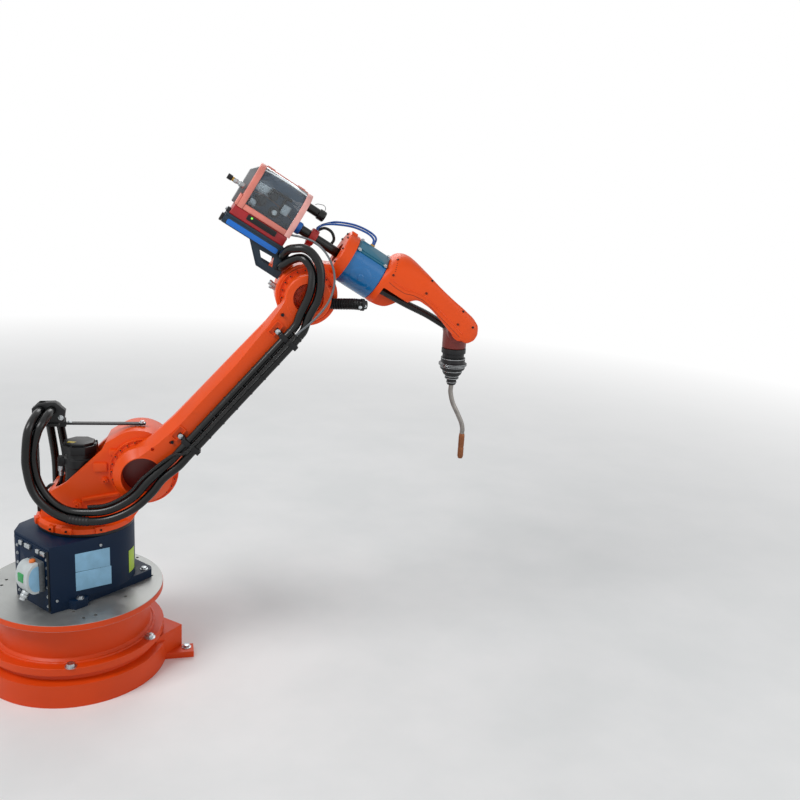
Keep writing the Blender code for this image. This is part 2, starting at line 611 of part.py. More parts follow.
def feeder(axis):
    """Wire feeder: red body, pink frame, clear cover, drive unit and grey back box."""
    red = finish("red_housing", "a5222a", 0.4)
    pink = finish("salmon_frame", "d98274", 0.45)
    low = BODY_TOP + SEAT
    body = box("feeder_body", red, axis, (FEEDER_BACK, FEEDER_NEAR, TRAY_TOP + SEAT),
               (FEEDER_FRONT - 0.006, BOX_FAR, BODY_TOP))
    bevel(body, 0.005)
    box("control_strip", finish("dark_strip", "1b1d20", 0.4), axis,
        (-0.390, FEEDER_NEAR - 0.004, 0.127), (-0.225, FEEDER_NEAR - SEAT, 0.153))
    wall = FRAME_WALL
    rail = box("feeder_frame", pink, axis, (FEEDER_BACK + 0.004, FEEDER_NEAR, low), (FEEDER_FRONT - 0.004, -0.088, 0.178))
    for name, x in (("frame_back_wall", FEEDER_BACK + wall / 2), ("frame_front_wall", FEEDER_FRONT - wall / 2)):
        add(rail, bevel(plate(name, pink, axis, arch_outline(0.0, low), wall, (x, 0, 0), "X"), 0.004))
    start = FEEDER_BACK + wall + SEAT
    end = FEEDER_FRONT - wall - SEAT
    outer = arch_outline(0.004, 0.178 + SEAT)[1:]
    inner = arch_outline(0.008, 0.178 + SEAT)[1:]
    plate("feeder_window", finish("smoky_clear_plastic", "5d6468", 0.1), axis, outer + inner[::-1],
          end - start, ((start + end) / 2, 0, 0), "X")
    metal = finish("bright_metal", "a6a8aa", 0.3, 0.9)
    unit = box("drive_unit", metal, axis, (-0.405, -0.026, low), (-0.240, -0.010, 0.310))
    for name, x, z, radius in (("roller_a", -0.301, 0.225, 0.026), ("roller_b", -0.352, 0.235, 0.020),
                               ("roller_c", -0.275, 0.270, 0.020)):
        add(unit, cylinder(name, metal, axis, radius, 0.040, (x, -0.040, z), "Y", 24))
    back = plate("feeder_back_box", finish("grey_housing", "6d7173", 0.5), axis, [
        (FEEDER_BACK - 0.006, low), (FEEDER_FRONT - 0.010, low), (FEEDER_FRONT - 0.010, 0.345),
        (-0.400, 0.345), (FEEDER_BACK - 0.006, 0.285)], BOX_FAR - FRAME_FAR - SEAT,
        (0, (BOX_FAR + FRAME_FAR + SEAT) / 2, 0), "Y")
    bevel(back, 0.012)
    turned("conduit_coupling", finish("brass", "a98a4d", 0.35, 0.9), axis, [
        (0.0, 0.0), (0.013, 0.0), (0.013, -0.022), (0.009, -0.024), (0.009, -0.05), (0.012, -0.052),
        (0.012, -0.080), (0.0, -0.080)], (FEEDER_BACK - SEAT, -0.040, 0.250), "X", sides=24)
    return unit


def torch_lines(axis):
    """The torch tube into the ring, its red clamp, the capped hose and the air hose."""
    front = FEEDER_FRONT + SEAT
    cylinder("torch_tube", rubber(), axis, TUBE_RADIUS, FLANGE_END - front,
             ((front + FLANGE_END) / 2, 0, AXIS_4_OFFSET), "X", 24)
    clamp_radius = 0.036
    turned("torch_clamp", finish("red_clamp", "b02a2c", 0.4), axis, [
        (clamp_radius, 0.016), (clamp_radius, -0.016), (TUBE_RADIUS + SEAT, -0.016), (TUBE_RADIUS + SEAT, 0.016)],
        (-0.100, 0, AXIS_4_OFFSET), "X", True, 32)
    face = FEEDER_FRONT - 0.010 + SEAT
    turned("second_hose", rubber(), axis, [
        (0.0, 0.105), (0.020, 0.105), (0.024, 0.100), (0.024, 0.072), (0.019, 0.070), (0.019, 0.0),
        (0.0, 0.0)], (face, 0.032, 0.318), "X", sides=24)
    cover_top = AXIS_4_OFFSET + CYLINDER_RADIUS + 0.003
    for number, y in enumerate((-0.010, 0.008), 1):
        tube(f"air_hose_{number}", finish("blue_air_hose", "174a8c", 0.35), axis, [
            (-0.100, y, AXIS_4_OFFSET + clamp_radius + SEAT), (-0.100, y, 0.268), (-0.085, y, 0.292), (-0.046, y, 0.319),
            (0.024, y, 0.355), (0.090, y, 0.368), (0.130, y, 0.360), (0.138, y, cover_top + 0.014),
            (0.138, y, cover_top + SEAT)], 0.004)
    tube("corrugated_hose", rubber(), axis, [
        (HUB_RADIUS + SEAT, -0.062, 0.005), (0.155, -0.062, 0.006), (0.178, -0.066, 0.022),
        (0.198, -0.070, 0.050), (0.206, -0.072, 0.082)], 0.018)
    return clamp_radius


def section(x, low, high, near, far, power, count=28):
    """A rounded section across X between two heights and two sides."""
    points = []
    for i in range(count):
        a = 2 * math.pi * i / count
        c, s = math.cos(a), math.sin(a)
        y = (near + far) / 2 + (far - near) / 2 * math.copysign(abs(c) ** (2 / power), c)
        z = (low + high) / 2 + (high - low) / 2 * math.copysign(abs(s) ** (2 / power), s)
        points.append((x, y, z))
    return points


PIVOT_FACE = -0.0725
CABLE_RADIUS = 0.017
CABLE_SAG = -0.012
CABLE_START = 0.302
WRIST_RADIUS = 0.050


def forearm(axis):
    """The dog-legged casing, from the round drum to the pivot end beside the wrist."""
    start = CYLINDER_END + SEAT + RUN
    rows = [(start, -0.102, 0.102, -0.102, 0.102, 2.0), (0.250, -0.104, 0.126, -0.107, 0.107, 2.2),
            (0.275, -0.103, 0.146, -0.108, 0.104, 2.6), (0.305, -0.099, 0.157, -0.108, 0.095, 2.8),
            (0.340, -0.084, 0.158, -0.109, 0.076, 3.0), (0.380, -0.038, 0.151, -0.110, 0.030, 3.0),
            (0.420, -0.004, 0.142, -0.112, -0.030, 3.0), (0.470, 0.010, 0.131, -0.114, -0.062, 3.2),
            (0.560, 0.004, 0.114, -0.117, -0.0725, 3.5), (0.640, -0.014, 0.098, -0.119, -0.0735, 3.5),
            (0.700, -0.026, 0.083, -0.119, -0.0735, 3.0), (0.728, -0.020, 0.062, -0.116, -0.076, 2.4),
            (0.742, -0.002, 0.040, -0.110, -0.082, 2.0)]
    casing = loft("forearm_casing", orange(), axis, [section(*row) for row in rows])
    boss = cylinder("pivot_boss", orange(), axis, 0.036, 0.030, (WRIST_REACH, PIVOT_FACE - 0.015, 0), "Y", 32)
    add(casing, boss)
    tunnel = cylinder("cable_tunnel", orange(), axis, CABLE_RADIUS + SEAT, 0.24, (0.42, 0, CABLE_SAG), "X", 28)
    cut(casing, tunnel)
    cable = tube("torch_cable", rubber(), axis, [(CABLE_START, 0, CABLE_SAG), (WRIST_REACH - WRIST_RADIUS - SEAT, 0, CABLE_SAG)], CABLE_RADIUS, False)
    return cable


def wrist(axis):
    """The wrist body on its pivot, with the collar that the torch turns in."""
    brown = finish("red_brown_casting", "6a2620", 0.45)
    hub = cylinder("wrist_body", brown, axis, WRIST_RADIUS, 0.045 - PIVOT_FACE - SEAT - RUN,
                   (0, (0.045 + PIVOT_FACE + SEAT + RUN) / 2, 0), "Y", 40)
    barrel = turned("wrist_barrel", brown, axis, [
        (0.0, 0.088), (0.050, 0.088), (0.055, 0.083), (0.055, 0.0), (0.0, 0.0)], (0, 0, 0), "X", sides=40)
    add(hub, barrel)
    turned("wrist_collar", black(), axis, [
        (0.0, 0.131), (0.050, 0.131), (0.050, 0.112), (0.056, 0.110), (0.056, 0.088 + SEAT),
        (0.0, 0.088 + SEAT)], (0, 0, 0), "X", sides=40)
    return hub


def torch(axis):
    """The torch mount's stepped rings, the bent neck and the nozzle."""
    low = 0.131 + SEAT + RUN
    turned("torch_rings", black(), axis, [
        (0.0, 0.262), (0.018, 0.262), (0.024, 0.250), (0.022, 0.238), (0.032, 0.232), (0.032, 0.218),
        (0.040, 0.212), (0.046, 0.200), (0.046, 0.192), (0.054, 0.188), (0.058, 0.180), (0.058, 0.172),
        (0.065, 0.168), (0.065, 0.158), (0.056, 0.154), (0.056, low), (0.0, low)], (0, 0, 0), "X", sides=40)
    neck_end = (0.500, 0, 0.070)
    tube("torch_neck", steel(), axis, [
        (0.262 + SEAT, 0, 0.0), (0.300, 0, 0.0), (0.350, 0, 0.014), (0.400, 0, 0.040),
        (0.445, 0, 0.062), (0.475, 0, neck_end[2]), neck_end], 0.011)
    turned("torch_nozzle", finish("copper_nozzle", "9a6a4a", 0.35, 0.8), axis, [
        (0.0, 0.122), (0.010, 0.122), (0.014, 0.110), (0.014, 0.012), (0.012, 0.0), (0.0, 0.0)],
        (neck_end[0] + SEAT, 0, neck_end[2]), "X", sides=24)
    return neck_end


def link_point(x, y, z):
    """A point of the link arm's frame, in the column's frame."""
    c, s = math.cos(LINK_LEAN), math.sin(LINK_LEAN)
    return (AXIS_2_REACH + x * c - z * s, y, AXIS_2_HEIGHT + x * s + z * c)


def arm_point(x, y, z):
    """A point of the housing's frame, in the link arm's frame."""
    c, s = math.cos(LINK_LEAN + FOREARM_LEAN), math.sin(LINK_LEAN + FOREARM_LEAN)
    return (LINK_LENGTH + x * c + z * s, y, -x * s + z * c)


def loops(axis_1, axis_2, clamp_z):
    """The hose loops that bend at the second and the third axis."""
    face = CLAMP_Y - 0.010 - 0.002
    for number, (y, z, radius) in enumerate(HOSE_ROWS[:2], 1):
        grow = 0.045 if number == 1 else 0.0
        x = CLAMP_X + 0.0225 if number == 1 else CLAMP_X - 0.0225
        side = y - 0.010
        tube(f"lower_loop_{number}", rubber(), axis_1, [
            (x, CLAMP_Y, clamp_z), (x, face - 0.020, clamp_z), (x - 0.010, -0.170, clamp_z - 0.003),
            (-0.172 + grow, side, 0.745), (-0.174 + grow, side, 0.635), (-0.150 + 0.9 * grow, side, 0.540 + 0.1 * grow),
            (-0.098 + 0.7 * grow, side, 0.464 + 0.6 * grow), (-0.008, side, 0.418 + grow),
            (0.085, side, 0.412 + grow), (0.172 - 0.2 * grow, side, 0.436 + grow),
            link_point(-0.050, side, z - 0.004), link_point(0.050, y, z),
            link_point(HOSE_START - 0.07, y, z), link_point(HOSE_START - SEAT, y, z)], radius)
    plate_face = -0.080 - 2 * SEAT
    over_elbow = (
        [(0.984, 0.017)], [(-0.034, -0.222, 0.014), (-0.056, -0.226, 0.080), (-0.084, -0.212, 0.118),
                           (-0.110, -0.192, 0.130), (-0.135, -0.168, 0.086), (-0.160, -0.140, 0.047),
                           (-0.172, -0.112, 0.040), (-0.172, plate_face, 0.040)],
        [(1.014, -0.040)], [(0.007, -0.222, 0.025), (-0.017, -0.226, 0.108), (-0.058, -0.208, 0.158),
                            (-0.112, -0.182, 0.175), (-0.156, -0.165, 0.152), (-0.170, -0.145, 0.118),
                            (-0.172, -0.118, 0.088), (-0.172, plate_face, 0.088)])
    for number, (y, z, radius) in enumerate(HOSE_ROWS[:2], 1):
        first, rest = over_elbow[2 * number - 2:2 * number]
        tube(f"upper_loop_{number}", rubber(), axis_2, [
            (HOSE_END + SEAT, y, z), (HOSE_END + 0.03, y, z), *[(px, y, pz) for px, pz in first],
            *[arm_point(*point) for point in rest]], radius)
    return face


def build():
    """Build every body under the empty on its joint's axis."""
    for obj in list(bpy.data.objects):
        bpy.data.objects.remove(obj)
    scene = bpy.context.scene
    for name in ("welding_robot", "cutters"):
        scene.collection.children.link(bpy.data.collections.new(name))
    root = frame("robot_root", None, (0, 0, 0))
    axis_1 = frame("axis_1", root, (0, 0, PLINTH_HEIGHT))
    axis_2 = frame("axis_2", axis_1, (AXIS_2_REACH, 0, AXIS_2_HEIGHT), (0, -LINK_LEAN, 0))
    axis_3 = frame("axis_3", axis_2, (LINK_LENGTH, 0, 0), (0, LINK_LEAN + FOREARM_LEAN, 0))
    axis_4 = frame("axis_4", axis_3, (0, 0, AXIS_4_OFFSET))
    axis_5 = frame("axis_5", axis_4, (WRIST_REACH, 0, 0), (0, math.pi / 2 - FOREARM_LEAN, 0))
    axis_6 = frame("axis_6", axis_5, (0, 0, 0))
    plinth(root)
    base(root)
    clamp_z = hose_bracket(axis_1, column(axis_1))
    link_arm(axis_2)
    arm_hoses(axis_2)
    arm_housing(axis_3)
    drive_cylinder(axis_3)
    feeder_bracket(axis_3)
    feeder(axis_3)
    torch_lines(axis_3)
    forearm(axis_4)
    wrist(axis_5)
    torch(axis_6)
    loops(axis_1, axis_2, clamp_z)


build()
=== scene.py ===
# %% [markdown]
# # A welding robot, dressed for its picture
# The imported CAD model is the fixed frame. Every casting, hose and bolt below sits on it, and moves with it.
# Lengths are metres, +Z is up, +X is the arm's plane at rest, and the viewer of the photo stands on -Y.

import json
import math

import bmesh
import bpy
import numpy as np
from mathutils import Matrix


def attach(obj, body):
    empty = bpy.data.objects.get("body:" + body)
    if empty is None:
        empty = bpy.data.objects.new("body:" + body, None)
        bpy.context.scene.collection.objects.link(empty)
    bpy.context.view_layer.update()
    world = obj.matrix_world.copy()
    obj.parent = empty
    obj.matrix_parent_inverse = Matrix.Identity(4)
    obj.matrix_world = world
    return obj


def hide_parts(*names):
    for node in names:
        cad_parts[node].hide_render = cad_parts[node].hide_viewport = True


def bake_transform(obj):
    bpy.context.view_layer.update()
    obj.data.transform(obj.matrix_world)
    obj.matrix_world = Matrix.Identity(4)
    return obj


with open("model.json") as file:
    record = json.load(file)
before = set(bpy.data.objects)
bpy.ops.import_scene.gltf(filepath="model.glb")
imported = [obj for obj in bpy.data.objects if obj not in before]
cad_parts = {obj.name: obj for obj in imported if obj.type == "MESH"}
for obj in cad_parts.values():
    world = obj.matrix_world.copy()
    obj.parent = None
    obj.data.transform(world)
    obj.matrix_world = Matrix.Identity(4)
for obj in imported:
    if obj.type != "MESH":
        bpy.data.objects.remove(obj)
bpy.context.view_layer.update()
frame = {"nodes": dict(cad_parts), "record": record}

# %% [markdown]
# ## Where each link lies
# A robot is drawn link by link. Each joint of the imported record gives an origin, and the next joint gives the
# direction, so a piece can be described on its own link, lying straight along X, and is then laid in place.

# %% Places of the links
joints = {joint["name"]: joint for joint in frame["record"]["behaviour"]["joints"]}
PLINTH_TOP = 0.38
BASE_TURN = math.radians(42.0)


def place(origin, along, side=(0.0, 1.0, 0.0)):
    """A link's place: its origin, and the rows X, Y and Z of its own axes. Z is X cross Y."""
    x = np.array(along, float) / np.linalg.norm(along)
    y = np.array(side, float)
    return np.array(origin, float), np.array([x, y, np.cross(x, y)])


def joint_at(name):
    return np.array(joints[name]["pos_m"], float)


FLOOR = place((0, 0, 0), (1, 0, 0))
BASE = place((0, 0, PLINTH_TOP), (math.cos(BASE_TURN), math.sin(BASE_TURN), 0),
             (-math.sin(BASE_TURN), math.cos(BASE_TURN), 0))
COLUMN = place(joint_at("a1_turn"), (1, 0, 0))
LINK = place(joint_at("a2_lean"), joint_at("a3_fold") - joint_at("a2_lean"))
ELBOW = place(joint_at("a3_fold"), joints["a4_roll"]["axis"])
FOREARM = place(joint_at("a4_roll"), joints["a4_roll"]["axis"])
TORCH = place(joint_at("a5_bend"), joints["a6_spin"]["axis"])
LINK_LENGTH = float(np.linalg.norm(joint_at("a3_fold") - joint_at("a2_lean")))
print("link arm", round(LINK_LENGTH, 3), "m between its axes")


def laid(points, where):
    """Points given on a link, in the world: origin + x X + y Y + z Z."""
    return where[0] + np.asarray(points, float) @ where[1]


def carried(points, start, end):
    """Points given on one link, on the axes of another."""
    return (laid(points, start) - end[0]) @ end[1].T


# %% [markdown]
# ## The camera comes first
# The photo was taken from the front left, a little above the plinth, with the camera slightly tilted. Its place
# was worked out from the round plate, the axes and the upright edges, so the render can be laid over the photo.

# %% Camera
CAMERA_AT = (0.6239, -4.0522, 2.3479)
YAW, PITCH, ROLL = 0.1900, 0.2595, 0.0595
forward = np.array([math.sin(YAW) * math.cos(PITCH), math.cos(YAW) * math.cos(PITCH), -math.sin(PITCH)])
level = np.array([math.cos(YAW), -math.sin(YAW), 0.0])
upward = np.cross(level, forward)
right = math.cos(ROLL) * level + math.sin(ROLL) * upward
top = -math.sin(ROLL) * level + math.cos(ROLL) * upward
lens = bpy.data.cameras.new("photo_camera")
lens.sensor_width = 36.0
lens.lens = 41.536
camera = bpy.data.objects.new("photo_camera", lens)
turned_to = np.eye(4)
turned_to[:3, :3] = np.stack([right, top, -forward], axis=1)
turned_to[:3, 3] = CAMERA_AT
camera.matrix_world = Matrix(turned_to.tolist())
bpy.context.collection.objects.link(camera)
bpy.context.scene.camera = camera
print("camera lens", lens.lens, "mm")

# %% [markdown]
# ## Colour and nodes
# A colour is written as people read it, in sRGB hex, and one function makes it linear for the shader. One more
# function adds a node, so that each finish below reads as a short recipe.

# %% Colour and node helpers


def colour(code):
    """The linear RGBA of an sRGB hex code: c / 12.92 when dark, else ((c + 0.055) / 1.055) to the power 2.4."""
    value = np.array([int(code[i:i + 2], 16) for i in (0, 2, 4)]) / 255
    line = np.where(value <= 0.04045, value / 12.92, ((value + 0.055) / 1.055) ** 2.4)
    return (*line.tolist(), 1.0)


def add(tree, kind, inputs=None, **settings):
    """One node with its settings. An input takes a value, or a socket to link from."""
    made = tree.nodes.new(kind)
    for key, value in settings.items():
        setattr(made, key, value)
    for key, value in (inputs or {}).items():
        if isinstance(value, bpy.types.NodeSocket):
            tree.links.new(value, made.inputs[key])
        else:
            made.inputs[key].default_value = value
    return made


def noise(tree, where, size, detail=3.0, rough=0.55):
    """Cloudy noise whose blotches are about so many metres wide."""
    return add(tree, "ShaderNodeTexNoise", {"Vector": where, "Scale": 1 / size, "Detail": detail,
                                            "Roughness": rough}).outputs["Fac"]


def between(tree, fac, low, high, start=0.35, end=0.65):
    """A number that runs from low to high as fac runs from start to end."""
    return add(tree, "ShaderNodeMapRange", {"Value": fac, "From Min": start, "From Max": end,
                                            "To Min": low, "To Max": high}).outputs["Result"]


def mixed(tree, fac, first, second):
    """Two colours mixed by a factor. A Mix node keeps its colours in inputs 6 and 7, and output 2."""
    return add(tree, "ShaderNodeMix", {0: fac, 6: first, 7: second}, data_type="RGBA").outputs[2]


def tinted(tree, fac, first, second, start=0.35, end=0.65):
    """A colour that runs from the first to the second as fac runs from start to end."""
    return mixed(tree, between(tree, fac, 0.0, 1.0, start, end), first, second)


def material(name):
    """A new material with its tree, its shader and its Object coordinates."""
    made = bpy.data.materials.new(name)
    made.use_nodes = True
    tree = made.node_tree
    shader = tree.nodes["Principled BSDF"]
    where = add(tree, "ShaderNodeTexCoord").outputs["Object"]
    return made, tree, shader, where


def bump(tree, shader, height, strength, distance):
    """Raise the surface by a height field, for relief too fine to model."""
    made = add(tree, "ShaderNodeBump", {"Height": height, "Strength": strength, "Distance": distance})
    tree.links.new(made.outputs["Normal"], shader.inputs["Normal"])


def shade(hex_code, factor):
    """The same colour, darker or lighter by a factor."""
    red, green, blue, _ = colour(hex_code)
    return (min(red * factor, 1.0), min(green * factor, 1.0), min(blue * factor, 1.0), 1.0)


print("helpers ready")

# %% [markdown]
# ## Enamel on castings
# The robot is cast iron and aluminium, sprayed with two-pack enamel. Enamel over a sand casting keeps a soft
# grain, and the gun leaves orange peel of a few millimetres. Dust and handling dull it in wide patches.

# %% Enamel finishes


def enamel(name, code, roughness, grain=0.0025, relief=0.25, coat=0.0, gloss=0.5):
    """Sprayed enamel: a tint that drifts by hand's breadths, orange peel and dull patches."""
    made, tree, shader, where = material(name)
    drift = noise(tree, where, 0.22, 5.0)
    grime = noise(tree, where, 0.035, 6.0, 0.7)
    clean = tinted(tree, drift, shade(code, 0.93), shade(code, 1.05))
    dusty = tinted(tree, grime, colour(code), shade(code, 0.72), 0.60, 0.82)
    tree.links.new(mixed(tree, 0.35, clean, dusty), shader.inputs["Base Color"])
    tree.links.new(between(tree, drift, roughness - 0.05, roughness + 0.09), shader.inputs["Roughness"])
    shader.inputs["Coat Weight"].default_value = coat
    shader.inputs["Coat Roughness"].default_value = 0.18
    shader.inputs["Specular IOR Level"].default_value = gloss
    bump(tree, shader, noise(tree, where, grain, 2.0), relief, 0.0006)
    return made


# Semi-gloss over sand-cast metal: broad soft highlights, and a colour that drifts a little
cast_enamel = enamel("orange_enamel_on_casting", "E64C04", 0.38, coat=0.04, gloss=0.32)
plinth_enamel = enamel("orange_enamel_on_welded_plate", "DA4406", 0.40, gloss=0.32)
# Black enamel with a navy tint: the navy is painted blue light on the casting's black paint
blue_lit_black_enamel = enamel("black_enamel_with_painted_blue_light", "021C36", 0.40, gloss=0.18)
black_enamel = enamel("black_satin_enamel", "0C0D10", 0.38, gloss=0.35)
slate_enamel = enamel("slate_powder_coat", "1D2D3A", 0.50, 0.0015, 0.35, gloss=0.35)
# Gloss coats: a sharper highlight and less grain
blue_enamel = enamel("blue_gloss_enamel", "0066A4", 0.20, 0.004, 0.12, 0.3)
teal_enamel = enamel("teal_gloss_enamel", "03627C", 0.28, 0.004, 0.12, 0.2)
stripe_blue = enamel("bright_blue_enamel", "0668C4", 0.32, 0.003, 0.15)
wrist_enamel = enamel("red_brown_enamel", "6A1F18", 0.42)
print("enamels", cast_enamel.name, blue_lit_black_enamel.name, blue_enamel.name)

# %% [markdown]
# ## Bare metals
# The plinth's top is a turned steel plate, so its marks run in rings round its middle. Screws, clips and panels
# are zinc plated, which gives a cool, cloudy sheen. The torch's nozzle is copper that heat has browned.

# %% Metal finishes


def plated(name, code, roughness, patch=0.012, metallic=1.0):
    """Plated or cast metal with cloudy patches, dull and bright."""
    made, tree, shader, where = material(name)
    cloud = noise(tree, where, patch, 4.0, 0.6)
    tree.links.new(tinted(tree, cloud, shade(code, 0.82), shade(code, 1.08)), shader.inputs["Base Color"])
    tree.links.new(between(tree, cloud, roughness - 0.08, roughness + 0.12), shader.inputs["Roughness"])
    shader.inputs["Metallic"].default_value = metallic
    bump(tree, shader, noise(tree, where, 0.001, 2.0), 0.15, 0.0003)
    return made


def turned_steel(name, code, middle):
    """A faced steel plate: fine rings round its middle, worked out from the distance to it."""
    made, tree, shader, where = material(name)
    centred = add(tree, "ShaderNodeMapping", {"Vector": where, "Location": middle})
    flat = add(tree, "ShaderNodeVectorMath", {0: centred.outputs["Vector"], 1: (1.0, 1.0, 0.0)},
               operation="MULTIPLY").outputs["Vector"]
    reach = add(tree, "ShaderNodeVectorMath", {0: flat}, operation="LENGTH").outputs["Value"]
    rings = add(tree, "ShaderNodeTexNoise", {"W": reach, "Scale": 420.0, "Detail": 2.0},
                noise_dimensions="1D").outputs["Fac"]
    cloud = noise(tree, where, 0.09, 5.0, 0.65)
    base = tinted(tree, cloud, shade(code, 0.86), shade(code, 1.06))
    lined = tinted(tree, rings, shade(code, 0.78), shade(code, 1.12))
    tree.links.new(mixed(tree, 0.4, base, lined), shader.inputs["Base Color"])
    tree.links.new(between(tree, cloud, 0.34, 0.5), shader.inputs["Roughness"])
    shader.inputs["Metallic"].default_value = 0.75
    bump(tree, shader, rings, 0.12, 0.0004)
    return made


plate_steel = turned_steel("faced_steel_plate", "A9ABA9", (0.06, 0.028, 0.0))
# Zinc is cool and cloudy, machined metal even and bright, and heat leaves the neck and nozzle dull
zinc = plated("zinc_plate", "B9BEC1", 0.32)
bright_metal = plated("machined_aluminium", "AEB1B3", 0.30, 0.03)
neck_steel = plated("heat_dulled_steel", "8E8A86", 0.34, 0.03)
brass = plated("brass", "B8934E", 0.28, 0.02)
copper = plated("browned_copper", "8C5A3E", 0.36, 0.006)
dark_steel = plated("black_oxide_steel", "2B2D30", 0.38, 0.01, 0.8)
print("metals", plate_steel.name, zinc.name, copper.name)

# %% [markdown]
# ## Rubber and plastics
# Hoses are black synthetic rubber, which is dull but shows a long soft highlight. The wire feeder is moulded
# plastic with a fine spark grain, and its lid is a smoky clear sheet.

# %% Rubber and plastic finishes


def moulded(name, code, roughness, grain=0.0012, relief=0.2, gloss=0.5):
    """Moulded plastic or rubber: one colour with a slight drift, and a fine grain."""
    made, tree, shader, where = material(name)
    drift = noise(tree, where, 0.05, 4.0)
    tree.links.new(tinted(tree, drift, shade(code, 0.90), shade(code, 1.08)), shader.inputs["Base Color"])
    tree.links.new(between(tree, drift, roughness - 0.05, roughness + 0.07), shader.inputs["Roughness"])
    shader.inputs["Specular IOR Level"].default_value = gloss
    bump(tree, shader, noise(tree, where, grain, 2.0), relief, 0.0004)
    return made


def glazed(name, code, roughness, ior):
    """Clear sheet: light passes through, with a tint and a few wiping marks in its gloss."""
    made, tree, shader, where = material(name)
    shader.inputs["Base Color"].default_value = colour(code)
    shader.inputs["Transmission Weight"].default_value = 1.0
    shader.inputs["IOR"].default_value = ior
    marks = noise(tree, where, 0.03, 5.0, 0.7)
    tree.links.new(between(tree, marks, roughness, roughness + 0.07, 0.45, 0.8), shader.inputs["Roughness"])
    return made


# Rubber and hoses: nearly black with one long highlight, or clear blue and smooth
hose_rubber = moulded("black_hose_rubber", "020304", 0.26, 0.002, 0.15, 0.4)
blue_hose = moulded("blue_air_hose_polyurethane", "1450A0", 0.28, 0.003, 0.05)
grey_cable = moulded("grey_cable_sheath", "62676B", 0.42)
# Moulded housings: matt and even, with a fine spark grain
pale_salmon = moulded("pale_salmon_plastic", "E8A8A0", 0.40, 0.002, 0.12)
inner_grey = moulded("blue_grey_moulding", "123E5A", 0.40, 0.002, 0.12)
black_plastic = moulded("black_moulded_nylon", "0E0F12", 0.44, gloss=0.35)
grey_plastic = moulded("grey_moulded_abs", "666B6E", 0.50)
pale_plastic = moulded("pale_grey_moulded_abs", "BFC6C7", 0.45)
red_plastic = moulded("dark_red_moulded_abs", "9C161D", 0.38)
salmon_plastic = moulded("salmon_moulded_abs", "D77E70", 0.42)
clamp_red = moulded("red_moulded_nylon", "B3231F", 0.38)
orange_plastic = moulded("orange_moulded_nylon", "E0701F", 0.42)
green_plastic = moulded("green_moulded_nylon", "2A9A52", 0.42)
sky_plastic = moulded("pale_blue_moulded_abs", "86B6D4", 0.45)
white_plastic = moulded("white_moulded_nylon", "E4E6E4", 0.38)
yellow_mark = moulded("yellow_vinyl_mark", "DDC21A", 0.42)
lime_mark = moulded("lime_vinyl_mark", "A8C832", 0.42)
# The lid: clear enough to see the drive, with sharp reflections
smoky_sheet = glazed("smoky_clear_acrylic", "DCE6EC", 0.02, 1.49)
print("plastics", hose_rubber.name, smoky_sheet.name)

# %% [markdown]
# ## Shapes as arrays
# Every new piece is a grid of points worked out at once with numpy. A grid whose rows join end to end makes a
# tube or a turned part, and a fan closes an end. Several shapes can be joined into one piece.

# %% Shape helpers


def grid(points, ends=(True, True)):
    """A shape from points (rows, columns, 3): each row closes on itself, and a flat fan can close each end."""
    points = np.asarray(points, float)
    rows, columns = points.shape[:2]
    here = np.arange(rows * columns).reshape(rows, columns)
    across = np.roll(here, -1, axis=1)
    quads = np.stack([here[:-1], across[:-1], across[1:], here[1:]], axis=-1).reshape(-1, 4)
    caps = [here[0][::-1].tolist()] if ends[0] else []
    caps += [here[-1].tolist()] if ends[1] else []
    return points.reshape(-1, 3), quads.tolist() + caps


def joined(*shapes):
    """Several shapes as one: their points are stacked, and their faces count on from each other."""
    steps = np.cumsum([0] + [len(verts) for verts, _ in shapes])
    faces = [[i + int(step) for i in face] for (_, faces), step in zip(shapes, steps) for face in faces]
    return np.concatenate([verts for verts, _ in shapes]), faces


def moved(shape, offset=(0, 0, 0), turn=None):
    """A shape turned by the rows of a 3 x 3 array, and then moved."""
    verts = shape[0] if turn is None else shape[0] @ np.asarray(turn, float)
    return verts + np.asarray(offset, float), shape[1]


AXES = {"X": np.array([[0, 1, 0], [0, 0, 1], [1, 0, 0]], float),
        "Y": np.array([[1, 0, 0], [0, 0, -1], [0, 1, 0]], float),
        "-Y": np.array([[1, 0, 0], [0, 0, 1], [0, -1, 0]], float),
        "Z": np.eye(3),
        "-X": np.array([[0, -1, 0], [0, 0, 1], [-1, 0, 0]], float),
        "-Z": np.array([[1, 0, 0], [0, -1, 0], [0, 0, -1]], float),
        "Y_flat": np.array([[1, 0, 0], [0, 0, -1], [0, -1, 0]], float)}


def filleted(profile, radius):
    """A profile of (r, h) points whose inner corners are cut by a quadratic curve of about that radius."""
    points = np.asarray(profile, float)
    before, at, after = points[:-2], points[1:-1], points[2:]
    to_before = before - at
    to_after = after - at
    long_before = np.linalg.norm(to_before, axis=1, keepdims=True)
    long_after = np.linalg.norm(to_after, axis=1, keepdims=True)
    reach = np.minimum(radius, 0.45 * np.minimum(long_before, long_after))
    start = at + to_before / long_before * reach
    end = at + to_after / long_after * reach
    t = np.linspace(0, 1, 4)[None, :, None]
    curve = (1 - t) ** 2 * start[:, None] + 2 * t * (1 - t) * at[:, None] + t ** 2 * end[:, None]
    return np.concatenate([points[:1], curve.reshape(-1, 2), points[-1:]])


def turned(profile, middle=(0, 0, 0), axis="Z", sides=64, round_by=0.0008, ring=False):
    """A lathe part: the profile (r, h), given bottom up, carried round the axis: (r cos a, r sin a, h)."""
    points = filleted(profile, round_by) if round_by else np.asarray(profile, float)
    if ring:
        points = np.concatenate([points, points[:1]])
    angle = np.arange(sides) * 2 * math.pi / sides
    radius, height = points[:, :1], points[:, 1:]
    verts = np.stack([radius * np.cos(angle), radius * np.sin(angle), height + 0 * angle], axis=-1)
    closed = (not ring and points[0, 0] > 1e-6, not ring and points[-1, 0] > 1e-6)
    return moved(grid(verts, ends=closed), middle, AXES[axis])


